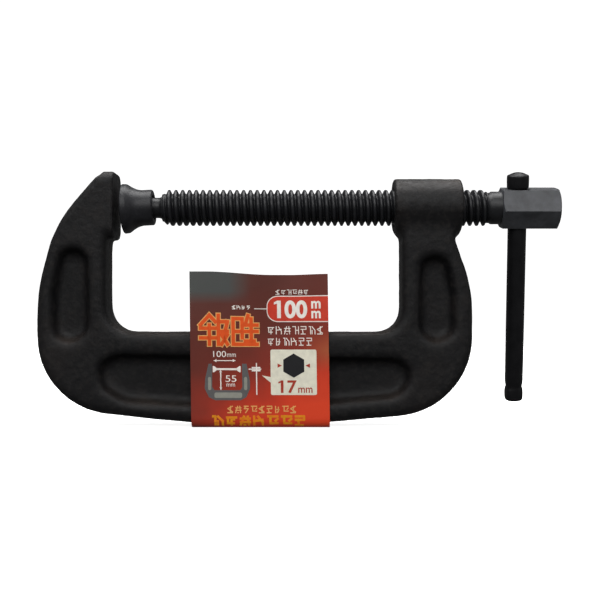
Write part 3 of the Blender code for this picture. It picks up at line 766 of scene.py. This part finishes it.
def card_line():
    """The middle of the card in (y, z), from its front top edge round the fold to its back top edge."""
    skin = half_thick + FIT_GAP + CARD_THICK / 2
    fold = card_bottom + CARD_THICK / 2
    seam = card_top - 2.5 * MM
    behind = 0.54 * MM - skin
    return rounded_path(
        [
            (-skin, card_top, 0),
            (-skin, fold, 3.2 * MM),
            (skin, fold, 3.2 * MM),
            (skin, spine_top_z, 14 * MM),
            (behind, seam, 1.5 * MM),
            (behind, card_top, 0),
        ],
        8 * DEG,
    )


class Card:
    """Maps the flat print to the folded card: x across it and s down it from the front top edge."""

    def __init__(self):
        line = card_line()
        steps = [(b - a).length for a, b in zip(line, line[1:])]
        self.at = np.concatenate([[0], np.cumsum(steps)])
        self.y = np.array([p.x for p in line])
        self.z = np.array([p.y for p in line])
        self.length = self.at[-1]

    def middle(self, across, down):
        """Points of the card's middle layer, for arrays of u from 0 to 1 and of s in metres."""
        y = np.interp(down, self.at, self.y)
        z = np.interp(down, self.at, self.z)
        high = np.clip((z - spine_top_z) / (card_top - spine_top_z), 0, 1)
        low = np.clip((spine_top_z - z) / (spine_top_z - card_bottom), 0, 1)
        lift = 0.6 - 1.55 * smooth(across, 0.12, 0.6) + 0.5 * smooth(across, 0.72, 1)
        z = z + lift * MM * high**1.5
        wave = 0.6 * np.sin(across * 8.2 + 0.6) + 0.25 * np.sin(across * 17 + 2)
        y = y + wave * MM * high**1.2
        y = y - 0.16 * MM * np.sin(across * 5.1 + 1.4) * np.sin(np.pi * low) * np.sign(y)
        x = card_left + across * card_width + card_drift * np.clip((card_top - z) / card_height, 0, 1)
        return np.stack([x, y, z], axis=1)

    def placed(self, across, down, lift):
        """Points lifted off the card's middle layer towards its outer side."""
        step = 0.3 * MM
        here = self.middle(across, down)
        aside = step / card_width
        sideways = self.middle(across + aside, down) - self.middle(across - aside, down)
        down_a = np.clip(down - step, 0, self.length)
        down_b = np.clip(down + step, 0, self.length)
        along = self.middle(across, down_b) - self.middle(across, down_a)
        out = np.cross(along, sideways)
        out /= np.linalg.norm(out, axis=1)[:, None]
        return here + out * lift


def smooth(value, low, high):
    t = np.clip((value - low) / (high - low), 0, 1)
    return t * t * (3 - 2 * t)


def build_card_sheet(card):
    columns = CARD_COLUMNS
    rows = CARD_ROWS
    u, s = np.meshgrid(np.linspace(0, 1, columns + 1), np.linspace(0, card.length, rows + 1), indexing="ij")
    bm = bmesh.new()
    layers = []
    for lift in (sheet_half, -sheet_half):
        points = card.placed(u.ravel(), s.ravel(), lift).reshape(columns + 1, rows + 1, 3)
        layers.append([[bm.verts.new(point) for point in column] for column in points])
    outer, inner = layers
    for i in range(columns):
        for j in range(rows):
            for layer in layers:
                bm.faces.new((layer[i][j], layer[i + 1][j], layer[i + 1][j + 1], layer[i][j + 1]))
    for i in range(columns):
        for j in (0, rows):
            bm.faces.new((outer[i][j], outer[i + 1][j], inner[i + 1][j], inner[i][j]))
    for j in range(rows):
        for i in (0, columns):
            bm.faces.new((outer[i][j], outer[i][j + 1], inner[i][j + 1], inner[i][j]))
    sheet = mesh_object("card_sleeve_sheet", bm)
    sheet.data.set_sharp_from_angle(angle=50 * DEG)
    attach(sheet, "frame")
    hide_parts("card_sleeve")
    return sheet


# ------------------------------------------------------------------ print on the card
def box_shape(u0, v0, u1, v1):
    return [(u0, v0), (u1, v0), (u1, v1), (u0, v1)]


def rounded_box(u0, v0, u1, v1, radius, steps=6, sides=(1, 1)):
    """A box with round corners, radius in fractions of the card's width; sides says left and right."""
    tall = radius * card_width / card_height
    left, right = sides
    corners = ((u0, v0, 180, left), (u1, v0, 270, right), (u1, v1, 0, right), (u0, v1, 90, left))
    points = []
    for u, v, start, rounded in corners:
        if not rounded:
            points.append((u, v))
            continue
        cu = u + radius * (1 if u == u0 else -1)
        cv = v + tall * (1 if v == v0 else -1)
        for k in range(steps + 1):
            turn = (start + 90 * k / steps) * DEG
            points.append((cu + radius * math.cos(turn), cv + tall * math.sin(turn)))
    return points


def bar_shape(a, b, width, extra=0.0):
    """A straight stroke from a to b and a little beyond, its width in fractions of the card's width."""
    start = Vector((a[0], a[1] / print_ratio))
    end = Vector((b[0], b[1] / print_ratio))
    along = (end - start).normalized()
    start -= along * extra
    end += along * extra
    side = Vector((-along.y, along.x)) * (width / 2)
    return [(p.x, p.y * print_ratio) for p in (start + side, end + side, end - side, start - side)]


def arrow(a, b, width, head):
    """A stroke with a head at each end."""
    start = Vector((a[0], a[1] / print_ratio))
    end = Vector((b[0], b[1] / print_ratio))
    along = (end - start).normalized()
    side = Vector((-along.y, along.x))
    shapes = [bar_shape(a, b, width)]
    for tip, way in ((start, along), (end, -along)):
        corners = (tip, tip + way * head + side * head * 0.55, tip + way * head - side * head * 0.55)
        shapes.append([(p.x, p.y * print_ratio) for p in corners])
    return shapes


def polygon_at(centre, radius, sides, start):
    turns = [start + 2 * math.pi * k / sides for k in range(sides)]
    return [(centre[0] + radius * math.cos(t), centre[1] + radius * math.sin(t) * print_ratio) for t in turns]


def text_mesh(words, bold):
    """The flat faces of a word in Blender's own font."""
    curve = bpy.data.curves.new("numerals", "FONT")
    curve.body = words
    curve.resolution_u = 6
    curve.offset = bold
    obj = bpy.data.objects.new("numerals", curve)
    bpy.context.scene.collection.objects.link(obj)
    bpy.context.view_layer.update()
    mesh = bpy.data.meshes.new_from_object(obj.evaluated_get(bpy.context.evaluated_depsgraph_get()))
    bpy.data.objects.remove(obj)
    bpy.data.curves.remove(curve)
    return mesh


SMALL_SIGNS = (
    ("1181", "8184", "1484", "3449", "1979"),
    ("2129", "2575", "7549", "6268"),
    ("1191", "3137", "3797", "9375"),
    ("1488", "8114", "5159", "1989"),
    ("1119", "1584", "4186", "8689"),
    ("1393", "1696", "4119", "7189", "4959"),
    ("2181", "5124", "2484", "8449"),
    ("1131", "3139", "5195", "5955", "9599"),
    ("1818", "1151", "5159", "5595", "9199"),
    ("1292", "2227", "2777", "7472", "5459"),
)
LARGE_SIGNS = (
    ("3003", "3052", "0454", "3339", "0757", "6069", "6292", "6595", "9286", "7699", "9679"),
    ("1119", "1141", "1545", "4147", "6053", "5393", "7179", "5595", "5888", "2999"),
)


def sign_strokes(sign, u, v, wide, tall):
    """A made-up sign's strokes as pairs of points; each stroke is x and y, then x and y, in ninths."""
    strokes = []
    for stroke in sign:
        x0, y0, x1, y1 = (int(c) / 9 for c in stroke)
        strokes.append(((u + wide * x0, v + tall * y0), (u + wide * x1, v + tall * y1)))
    return strokes


def line_of_glyphs(seed, u0, v0, u1, v1, count, weight):
    """A row of made-up signs, which stands for a line of small print."""
    rng = random.Random(seed)
    wide = (u1 - u0) / count
    shapes = []
    for k in range(count):
        sign = rng.choice(SMALL_SIGNS)
        strokes = sign_strokes(sign, u0 + wide * (k + 0.08), v0, wide * 0.8, v1 - v0)
        shapes += [bar_shape(a, b, weight, weight / 3) for a, b in strokes]
    return shapes


def add_shape(bm, points):
    """A flat polygon in the print's own plane: metres across, and metres down from its top edge."""
    corners = [bm.verts.new((u * card_width, v * card_height, 0)) for u, v in points]
    bm.faces.new(corners)


def add_text(bm, words, u0, v0, u1, v1, bold=0.0):
    """Words stretched to fill a box of the print."""
    mesh = text_mesh(words, bold)
    points = coordinates(mesh)
    low = points.min(0)
    high = points.max(0)
    fit = (points - low) / np.maximum(high - low, 1e-9)
    corners = []
    for across, up, _ in fit:
        u = u0 + (u1 - u0) * across
        v = v1 - (v1 - v0) * up
        corners.append(bm.verts.new((u * card_width, v * card_height, 0)))
    for polygon in mesh.polygons:
        bm.faces.new([corners[i] for i in polygon.vertices])
    bpy.data.meshes.remove(mesh)


def printed(name, card, bm, layer, material, start=0.0):
    """Cuts flat shapes into small cells, wraps them on the card and gives them a film's thickness."""
    bm.normal_update()
    bmesh.ops.triangulate(bm, faces=bm.faces)
    row = card.length / CARD_ROWS
    column = card_width / CARD_COLUMNS
    cuts = [(Vector((1, 0, 0)), 3 * column * k) for k in range(1, CARD_COLUMNS // 3)]
    first = math.floor(start / row) + 1
    last = math.ceil((start + card_height) / row)
    cuts += [(Vector((0, 1, 0)), row * k - start) for k in range(first, last)]
    for normal, distance in cuts:
        geometry = bm.verts[:] + bm.edges[:] + bm.faces[:]
        bmesh.ops.bisect_plane(bm, geom=geometry, dist=1e-7, plane_co=normal * distance, plane_no=normal)
    bmesh.ops.triangulate(bm, faces=bm.faces)
    flat = bpy.data.meshes.new(name)
    bm.to_mesh(flat)
    bm.free()
    points = coordinates(flat)
    across = points[:, 0] / card_width
    down = start + points[:, 1]
    top = card.placed(across, down, sheet_half + (0.02 + 0.03 * layer) * MM)
    foot = card.placed(across, down, CARD_THICK * 0.3)
    solid = bmesh.new()
    upper = [solid.verts.new(p) for p in top]
    lower = [solid.verts.new(p) for p in foot]
    faces = [tuple(p.vertices) for p in flat.polygons]
    counts = {}
    for face in faces:
        for a, b in zip(face, face[1:] + face[:1]):
            counts.setdefault(frozenset((a, b)), []).append((a, b))
        solid.faces.new([upper[i] for i in face])
        solid.faces.new([lower[i] for i in reversed(face)])
    for uses in counts.values():
        if len(uses) == 1:
            a, b = uses[0]
            solid.faces.new((upper[b], upper[a], lower[a], lower[b]))
    bpy.data.meshes.remove(flat)
    mesh = bpy.data.meshes.new(name)
    solid.to_mesh(mesh)
    solid.free()
    obj = bpy.data.objects.new(name, mesh)
    bpy.context.scene.collection.objects.link(obj)
    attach(obj, "frame")
    set_material(obj, material)
    return obj


def shapes_mesh(shapes):
    bm = bmesh.new()
    for shape in shapes:
        add_shape(bm, shape)
    return bm


def clamp_picture():
    """A small drawing of the clamp's frame, its pockets, and its screw."""
    body = [
        (0.105, 0.68), (0.13, 0.585), (0.155, 0.585), (0.155, 0.735), (0.172, 0.755), (0.358, 0.755),
        (0.372, 0.735), (0.372, 0.585), (0.405, 0.585), (0.428, 0.7), (0.428, 0.745), (0.4, 0.8),
        (0.36, 0.82), (0.175, 0.82), (0.13, 0.8), (0.1, 0.745),
    ]
    pockets = [
        rounded_box(0.125, 0.67, 0.148, 0.755, 0.011),
        rounded_box(0.385, 0.67, 0.408, 0.755, 0.011),
        rounded_box(0.17, 0.77, 0.37, 0.805, 0.013),
    ]
    screw = [
        [(0.16, 0.6), (0.17, 0.6), (0.19, 0.614), (0.19, 0.626), (0.17, 0.64), (0.16, 0.64)],
        bar_shape((0.185, 0.62), (0.335, 0.62), 0.014),
        [(0.362, 0.6), (0.352, 0.6), (0.332, 0.614), (0.332, 0.626), (0.352, 0.64), (0.362, 0.64)],
        bar_shape((0.42, 0.62), (0.51, 0.62), 0.008),
        box_shape(0.442, 0.606, 0.504, 0.615),
        box_shape(0.442, 0.625, 0.504, 0.634),
        bar_shape((0.476, 0.58), (0.476, 0.785), 0.008),
    ]
    return body, pockets, screw


def build_front_print(card, looks):
    white = bmesh.new()
    shapes = line_of_glyphs(3, 0.615, 0.098, 0.86, 0.132, 6, 0.0045)
    shapes += line_of_glyphs(4, 0.3, 0.208, 0.44, 0.233, 4, 0.005)
    shapes.append(bar_shape((0.465, 0.229), (0.6, 0.229), 0.006))
    shapes += line_of_glyphs(5, 0.553, 0.34, 0.968, 0.394, 7, 0.0062)
    shapes += line_of_glyphs(6, 0.553, 0.415, 0.888, 0.466, 6, 0.0062)
    shapes += arrow((0.168, 0.565), (0.325, 0.565), 0.006, 0.02)
    shapes += arrow((0.217, 0.624), (0.217, 0.752), 0.008, 0.018)
    body, pockets, screw = clamp_picture()
    shapes += screw
    shapes.append(rounded_box(0.555, 0.141, 1.0, 0.316, 0.08, 8, (1, 0)))
    for shape in shapes:
        add_shape(white, shape)
    add_text(white, "100", 0.165, 0.503, 0.258, 0.542)
    add_text(white, "mm", 0.265, 0.52, 0.328, 0.541)
    add_text(white, "55", 0.252, 0.66, 0.33, 0.702, 0.001)
    add_text(white, "mm", 0.258, 0.713, 0.32, 0.732)
    printed("print_white", card, white, 1, looks["white"])

    pill = shapes_mesh([rounded_box(0.561, 0.147, 1.0, 0.31, 0.074, 8, (1, 0))])
    printed("print_red_pill", card, pill, 2, looks["red"])
    pill_text = bmesh.new()
    add_text(pill_text, "100", 0.63, 0.172, 0.848, 0.292, 0.035)
    add_shape(pill_text, [(0.608, 0.2), (0.608, 0.184), (0.636, 0.172), (0.64, 0.19)])
    add_text(pill_text, "m", 0.877, 0.178, 0.945, 0.228, 0.03)
    add_text(pill_text, "m", 0.877, 0.243, 0.945, 0.292, 0.03)
    printed("print_pill_numerals", card, pill_text, 3, looks["white"])

    signs = []
    edged = []
    for sign, u0 in zip(LARGE_SIGNS, (0.075, 0.29)):
        for a, b in sign_strokes(sign, u0, 0.274, 0.195, 0.186):
            signs.append(bar_shape(a, b, 0.026, 0.012))
            edged.append(bar_shape(a, b, 0.038, 0.018))
    printed("print_sign_edges", card, shapes_mesh(edged), 1, looks["gold"])
    printed("print_signs", card, shapes_mesh(signs), 3, looks["orange"])

    printed("print_picture_body", card, shapes_mesh([body]), 1, looks["grey"])
    printed("print_picture_pockets", card, shapes_mesh(pockets), 2, looks["pale_grey"])

    panel = [rounded_box(0.578, 0.494, 0.91, 0.786, 0.012, 3)]
    panel.append([(0.515, 0.66), (0.585, 0.672), (0.585, 0.712)])
    printed("print_panel", card, shapes_mesh(panel), 1, looks["cream"])
    hexagon = shapes_mesh([polygon_at((0.745, 0.597), 0.087, 6, math.pi / 2)])
    printed("print_hexagon", card, hexagon, 3, looks["black"])
    left_mark = [(0.628, 0.583), (0.66, 0.597), (0.628, 0.611)]
    right_mark = [(0.862, 0.583), (0.83, 0.597), (0.862, 0.611)]
    red = shapes_mesh([left_mark, right_mark])
    add_text(red, "17", 0.65, 0.692, 0.765, 0.774, 0.02)
    add_shape(red, [(0.632, 0.712), (0.632, 0.702), (0.655, 0.692), (0.658, 0.704)])
    add_text(red, "mm", 0.775, 0.738, 0.878, 0.772, 0.01)
    printed("print_red_numerals", card, red, 3, looks["deep_red"])

    yellow = line_of_glyphs(8, 0.255, 0.853, 0.765, 0.9, 9, 0.0075)
    printed("print_yellow_line", card, shapes_mesh(yellow), 1, looks["gold"])
    large = line_of_glyphs(9, 0.14, 0.916, 0.835, 0.982, 7, 0.017)
    printed("print_large_yellow_line", card, shapes_mesh(large), 1, looks["yellow"])


def build_back_print(card, looks):
    """The back, which nobody has pictured: a pale panel with lines of small made-up signs."""
    start = card.length - card_height
    panel = [rounded_box(0.1, 0.16, 0.9, 0.72, 0.02, 4)]
    printed("print_back_panel", card, shapes_mesh(panel), 1, looks["cream"], start)
    lines = []
    for k in range(7):
        low = 0.21 + 0.068 * k
        lines += line_of_glyphs(20 + k, 0.16, low, 0.84 - 0.09 * (k % 3), low + 0.032, 16, 0.004)
    printed("print_back_lines", card, shapes_mesh(lines), 2, looks["black"], start)


# ------------------------------------------------------------------ materials
def new_material(name):
    material = bpy.data.materials.new(name)
    material.use_nodes = True
    tree = material.node_tree
    return material, tree, tree.nodes["Principled BSDF"]


def set_inputs(tree, node, inputs):
    """Links or sets each input, by its name or number."""
    for key, value in inputs.items():
        if isinstance(value, bpy.types.NodeSocket):
            tree.links.new(value, node.inputs[key])
        else:
            node.inputs[key].default_value = value


def add_node(tree, kind, inputs=None, **settings):
    made = tree.nodes.new(kind)
    for key, value in settings.items():
        setattr(made, key, value)
    set_inputs(tree, made, inputs or {})
    return made


def object_coordinates(tree):
    return add_node(tree, "ShaderNodeTexCoord").outputs["Object"]


def noise_texture(tree, vector, scale, detail=4, rough=0.55):
    inputs = {"Vector": vector, "Scale": scale, "Detail": detail, "Roughness": rough}
    return add_node(tree, "ShaderNodeTexNoise", inputs).outputs["Fac"]


def ramp(tree, factor, stops):
    made = add_node(tree, "ShaderNodeValToRGB", {"Fac": factor})
    elements = made.color_ramp.elements
    while len(elements) < len(stops):
        elements.new(0.5)
    for element, (position, colour) in zip(elements, stops):
        element.position = position
        element.color = (*colour, 1)
    return made.outputs["Color"]


def map_range(tree, value, low, high, to_low, to_high):
    inputs = {"Value": value, "From Min": low, "From Max": high, "To Min": to_low, "To Max": to_high}
    return add_node(tree, "ShaderNodeMapRange", inputs).outputs["Result"]


def bumped(tree, height, strength, distance, normal=None):
    inputs = {"Height": height, "Strength": strength, "Distance": distance}
    if normal is not None:
        inputs["Normal"] = normal
    return add_node(tree, "ShaderNodeBump", inputs).outputs["Normal"]


def mixed(tree, factor, first, second, blend="MIX"):
    made = add_node(tree, "ShaderNodeMix", data_type="RGBA", blend_type=blend)
    for key, value in (("Factor_Float", factor), ("A_Color", first), ("B_Color", second)):
        socket = next(s for s in made.inputs if s.identifier == key)
        if isinstance(value, bpy.types.NodeSocket):
            tree.links.new(value, socket)
        else:
            socket.default_value = (*value, 1) if isinstance(value, tuple) else value
    return next(s for s in made.outputs if s.identifier == "Result_Color")


def linear(red, green, blue):
    """A colour given as 0 to 255 values, in the linear values that a shader takes."""
    values = (c / 255 for c in (red, green, blue))
    return tuple(v / 12.92 if v <= 0.04045 else ((v + 0.055) / 1.055) ** 2.4 for v in values)


def forged_material():
    """Black forging scale: brown-black, finely pebbled, a little lighter where it is rubbed, with painted top
    light on what faces upwards.
    """
    material, tree, shader = new_material("forged_black_scale")
    where = object_coordinates(tree)
    broad = noise_texture(tree, where, 55, 4, 0.6)
    middle = noise_texture(tree, where, 420, 4, 0.6)
    fine = noise_texture(tree, where, 1700, 4, 0.6)
    stops = [
        (0.3, (0.0036, 0.0036, 0.0041)),
        (0.52, (0.0055, 0.0052, 0.0057)),
        (0.74, (0.0098, 0.008, 0.0078)),
    ]
    colour = ramp(tree, broad, stops)
    worn = ramp(tree, middle, [(0.5, (0, 0, 0)), (0.75, (1, 1, 1))])
    colour = mixed(tree, map_range(tree, worn, 0, 1, 0, 0.35), colour, (0.03, 0.0262, 0.0235))
    # A lighter brown painted on what faces upwards, in broad patches: painted light from above.
    normal = add_node(tree, "ShaderNodeNewGeometry").outputs["Normal"]
    facing = add_node(tree, "ShaderNodeSeparateXYZ", {"Vector": normal})
    painted_top_light = map_range(tree, facing.outputs["Z"], 0.35, 1, 0, 0.5)
    patches = map_range(tree, broad, 0.35, 0.65, 0.3, 1)
    painted_top_light_in_patches = add_node(tree, "ShaderNodeMath", {0: painted_top_light, 1: patches}, operation="MULTIPLY")
    colour = mixed(tree, painted_top_light_in_patches.outputs[0], colour, (0.034, 0.025, 0.019))
    tree.links.new(colour, shader.inputs["Base Color"])
    tree.links.new(map_range(tree, middle, 0.3, 0.7, 0.44, 0.66), shader.inputs["Roughness"])
    pebble = bumped(tree, middle, 0.55, 0.0004)
    grain = bumped(tree, fine, 0.4, 0.00012, pebble)
    tree.links.new(grain, shader.inputs["Normal"])
    shader.inputs["Specular IOR Level"].default_value = 0.2
    return material


def oxide_material(name, dark, light, roughness, specular):
    """Blackened steel with faint tool marks and cloudy oxide."""
    material, tree, shader = new_material(name)
    where = object_coordinates(tree)
    clouds = noise_texture(tree, where, 190, 5, 0.6)
    specks = noise_texture(tree, where, 1500, 3, 0.6)
    marks = noise_texture(tree, where, 3200, 2, 0.4)
    colour = ramp(tree, clouds, [(0.32, dark), (0.7, light)])
    tree.links.new(colour, shader.inputs["Base Color"])
    low, high = roughness
    tree.links.new(map_range(tree, specks, 0.3, 0.7, low, high), shader.inputs["Roughness"])
    first = bumped(tree, specks, 0.3, 0.00008)
    tree.links.new(bumped(tree, marks, 0.15, 0.00005, first), shader.inputs["Normal"])
    shader.inputs["Specular IOR Level"].default_value = specular
    return material


def card_material():
    """Printed card: slate at the top left, brown, then orange-red towards the bottom right."""
    material, tree, shader = new_material("printed_card_gradient")
    where = object_coordinates(tree)
    parts = add_node(tree, "ShaderNodeSeparateXYZ", {"Vector": where})
    across = map_range(tree, parts.outputs["X"], card_left, card_right, 0, 1)
    down = map_range(tree, parts.outputs["Z"], card_top, card_bottom, 0, 1)
    clouds = noise_texture(tree, where, 38, 3, 0.5)
    drift = map_range(tree, clouds, 0.25, 0.75, -0.1, 0.1)
    slant = add_node(tree, "ShaderNodeMath", {0: across, 1: 0.38, 2: drift}, operation="MULTIPLY_ADD")
    slanted = {0: down, 1: 0.72, 2: slant.outputs[0]}
    mix = add_node(tree, "ShaderNodeMath", slanted, operation="MULTIPLY_ADD")
    stops = [
        (0.0, linear(88, 58, 48)),
        (0.22, linear(92, 46, 38)),
        (0.45, linear(104, 44, 34)),
        (0.68, linear(142, 48, 34)),
        (0.86, linear(202, 58, 34)),
        (1.0, linear(224, 68, 36)),
    ]
    colour = ramp(tree, mix.outputs[0], stops)
    left = map_range(tree, across, 0.28, 0.44, 1, 0)
    high = map_range(tree, down, 0.12, 0.2, 1, 0)
    slate = add_node(tree, "ShaderNodeMath", {0: left, 1: high}, operation="MULTIPLY")
    colour = mixed(tree, slate.outputs[0], colour, linear(74, 76, 74))
    glow_x = map_range(tree, across, 0.8, 1, 0, 1)
    rise = map_range(tree, down, 0.36, 0.5, 0, 1)
    fall = map_range(tree, down, 0.5, 0.64, 1, 0)
    band = add_node(tree, "ShaderNodeMath", {0: rise, 1: fall}, operation="MULTIPLY")
    glow = add_node(tree, "ShaderNodeMath", {0: band.outputs[0], 1: glow_x}, operation="MULTIPLY")
    colour = mixed(tree, glow.outputs[0], colour, linear(170, 88, 54))
    tree.links.new(colour, shader.inputs["Base Color"])
    finish_card(tree, shader, where)
    return material


def finish_card(tree, shader, where):
    """The faint tooth of coated card."""
    fibres = noise_texture(tree, where, 2400, 3, 0.6)
    tree.links.new(map_range(tree, fibres, 0.3, 0.7, 0.32, 0.44), shader.inputs["Roughness"])
    tree.links.new(bumped(tree, fibres, 0.12, 0.00003), shader.inputs["Normal"])
    shader.inputs["Specular IOR Level"].default_value = 0.35


def ink_material(name, colour, other=None):
    """One flat ink, with the slight unevenness of print."""
    material, tree, shader = new_material(name)
    where = object_coordinates(tree)
    clouds = noise_texture(tree, where, 420, 4, 0.6)
    darker = tuple(0.86 * c for c in colour)
    tree.links.new(ramp(tree, clouds, [(0.3, darker), (0.65, other or colour)]), shader.inputs["Base Color"])
    finish_card(tree, shader, where)
    return material


def wire_material():
    """Bright drawn spring wire."""
    material, tree, shader = new_material("drawn_spring_wire")
    where = object_coordinates(tree)
    marks = noise_texture(tree, where, 1800, 3, 0.5)
    colour = ramp(tree, marks, [(0.3, (0.2, 0.2, 0.21)), (0.7, (0.36, 0.36, 0.37))])
    tree.links.new(colour, shader.inputs["Base Color"])
    tree.links.new(map_range(tree, marks, 0.3, 0.7, 0.28, 0.42), shader.inputs["Roughness"])
    shader.inputs["Metallic"].default_value = 1
    return material


def set_material(obj, material):
    obj.data.materials.clear()
    obj.data.materials.append(material)


# ------------------------------------------------------------------ stage
STAGE_FLAT = 2
STAGE_CURVE = 1
STAGE_HEIGHT = 4
STAGE_SIDES = 96


def build_stage():
    """A glowing white sweep of paper all round the clamp, which throws no light or shadow on it."""
    floor_z = cad_bounds[0].z - 0.2 * MM
    material, tree, shader = new_material("studio_paper")
    looks = {"Base Color": (0.9, 0.9, 0.9, 1), "Roughness": 0.9, "Specular IOR Level": 0.1}
    set_inputs(tree, shader, looks | {"Emission Color": (1, 1, 1, 1), "Emission Strength": 0.9})
    profile = [(0.05, 0)]
    for k in range(13):
        turn = k * 7.5 * DEG
        profile.append((STAGE_FLAT + STAGE_CURVE * math.sin(turn), STAGE_CURVE * (1 - math.cos(turn))))
    profile.append((STAGE_FLAT + STAGE_CURVE, STAGE_HEIGHT))
    bm = bmesh.new()
    rings = []
    for radius, z in profile:
        ring = []
        for k in range(STAGE_SIDES):
            angle = 2 * math.pi * k / STAGE_SIDES
            ring.append(bm.verts.new((radius * math.cos(angle), radius * math.sin(angle), floor_z + z)))
        rings.append(ring)
    bm.faces.new(rings[0])
    for low, high in zip(rings, rings[1:]):
        for k in range(STAGE_SIDES):
            after = (k + 1) % STAGE_SIDES
            bm.faces.new((low[k], high[k], high[after], low[after]))
    floor = mesh_object("studio_floor", bm)
    set_material(floor, material)
    floor.visible_diffuse = False
    floor.visible_glossy = False
    floor.visible_shadow = False


def area_light(name, location, target, size, power):
    data = bpy.data.lights.new(name, "AREA")
    data.shape = "RECTANGLE"
    data.size, data.size_y = size
    data.energy = power
    light = bpy.data.objects.new(name, data)
    light.location = location
    light.rotation_euler = (Vector(target) - Vector(location)).to_track_quat("-Z", "Y").to_euler()
    bpy.context.scene.collection.objects.link(light)


def build_lights():
    world = bpy.data.worlds.new("studio")
    world.use_nodes = True
    background = world.node_tree.nodes["Background"]
    set_inputs(world.node_tree, background, {"Color": (1, 1, 1, 1), "Strength": 0.15})
    bpy.context.scene.world = world
    middle = (0.081, 0, -0.04)
    area_light("top_softbox", (0.06, 0.08, 0.75), middle, (1, 0.5), 11)
    area_light("front_softbox", (0.02, -0.95, 0.6), middle, (1.4, 0.7), 11)
    area_light("right_softbox", (0.95, -0.25, 0.35), middle, (0.3, 0.6), 0.9)
    area_light("left_softbox", (-0.8, -0.2, 0.4), middle, (0.3, 0.6), 0.6)


CAMERA_DISTANCE = 0.43
CAMERA_X = 0.0813
CAMERA_Z = -0.0409
SENSOR_WIDTH = 36
VIEW_WIDTH = 600 / 2250  # metres across the picture, in the plane of the screw's axis


def build_camera():
    data = bpy.data.cameras.new("camera")
    data.sensor_width = SENSOR_WIDTH
    camera = bpy.data.objects.new("camera", data)
    camera.location = (CAMERA_X, -CAMERA_DISTANCE, CAMERA_Z)
    camera.rotation_euler = (math.pi / 2, 0, 0)
    data.lens = SENSOR_WIDTH * CAMERA_DISTANCE / VIEW_WIDTH
    data.clip_start = 0.01
    bpy.context.scene.collection.objects.link(camera)
    bpy.context.scene.camera = camera


# ------------------------------------------------------------------ the clamp
OXIDES = {  # darkest and lightest colour, roughness from and to, specular level
    "screw": ((0.005, 0.0052, 0.006), (0.0115, 0.0119, 0.014), (0.33, 0.48), 0.3),
    "hex": ((0.023, 0.0245, 0.028), (0.056, 0.059, 0.066), (0.36, 0.52), 0.42),
    "pad": ((0.008, 0.0082, 0.0098), (0.0165, 0.0169, 0.0198), (0.34, 0.5), 0.27),
    "bar": ((0.005, 0.005, 0.0058), (0.0095, 0.0095, 0.0105), (0.34, 0.5), 0.15),
}
INKS = {  # the ink's colour and, for yellow, a second one that it clouds into
    "white": [(250, 243, 234)],
    "red": [(212, 62, 42)],
    "deep_red": [(176, 62, 44)],
    "orange": [(236, 88, 28)],
    "gold": [(238, 178, 104)],
    "yellow": [(238, 168, 26), (232, 120, 24)],
    "grey": [(98, 96, 96)],
    "pale_grey": [(150, 150, 140)],
    "cream": [(240, 236, 216)],
    "black": [(30, 30, 32)],
}


def main():
    forged = forged_material()
    oxides = {part: oxide_material(part + "_black_oxide", *look) for part, look in OXIDES.items()}
    looks = {ink: ink_material("ink_" + ink, *(linear(*c) for c in colours)) for ink, colours in INKS.items()}
    set_material(build_frame(), forged)
    for piece in build_screw():
        set_material(piece, oxides["hex" if piece.name == "screw_hex" else "screw"])
    set_material(build_pad(), oxides["pad"])
    set_material(build_ring(), wire_material())
    set_material(build_bar(), oxides["bar"])
    card = Card()
    set_material(build_card_sheet(card), card_material())
    build_front_print(card, looks)
    build_back_print(card, looks)
    build_stage()
    build_lights()
    build_camera()
    bpy.context.scene.view_settings.view_transform = "Standard"


main()
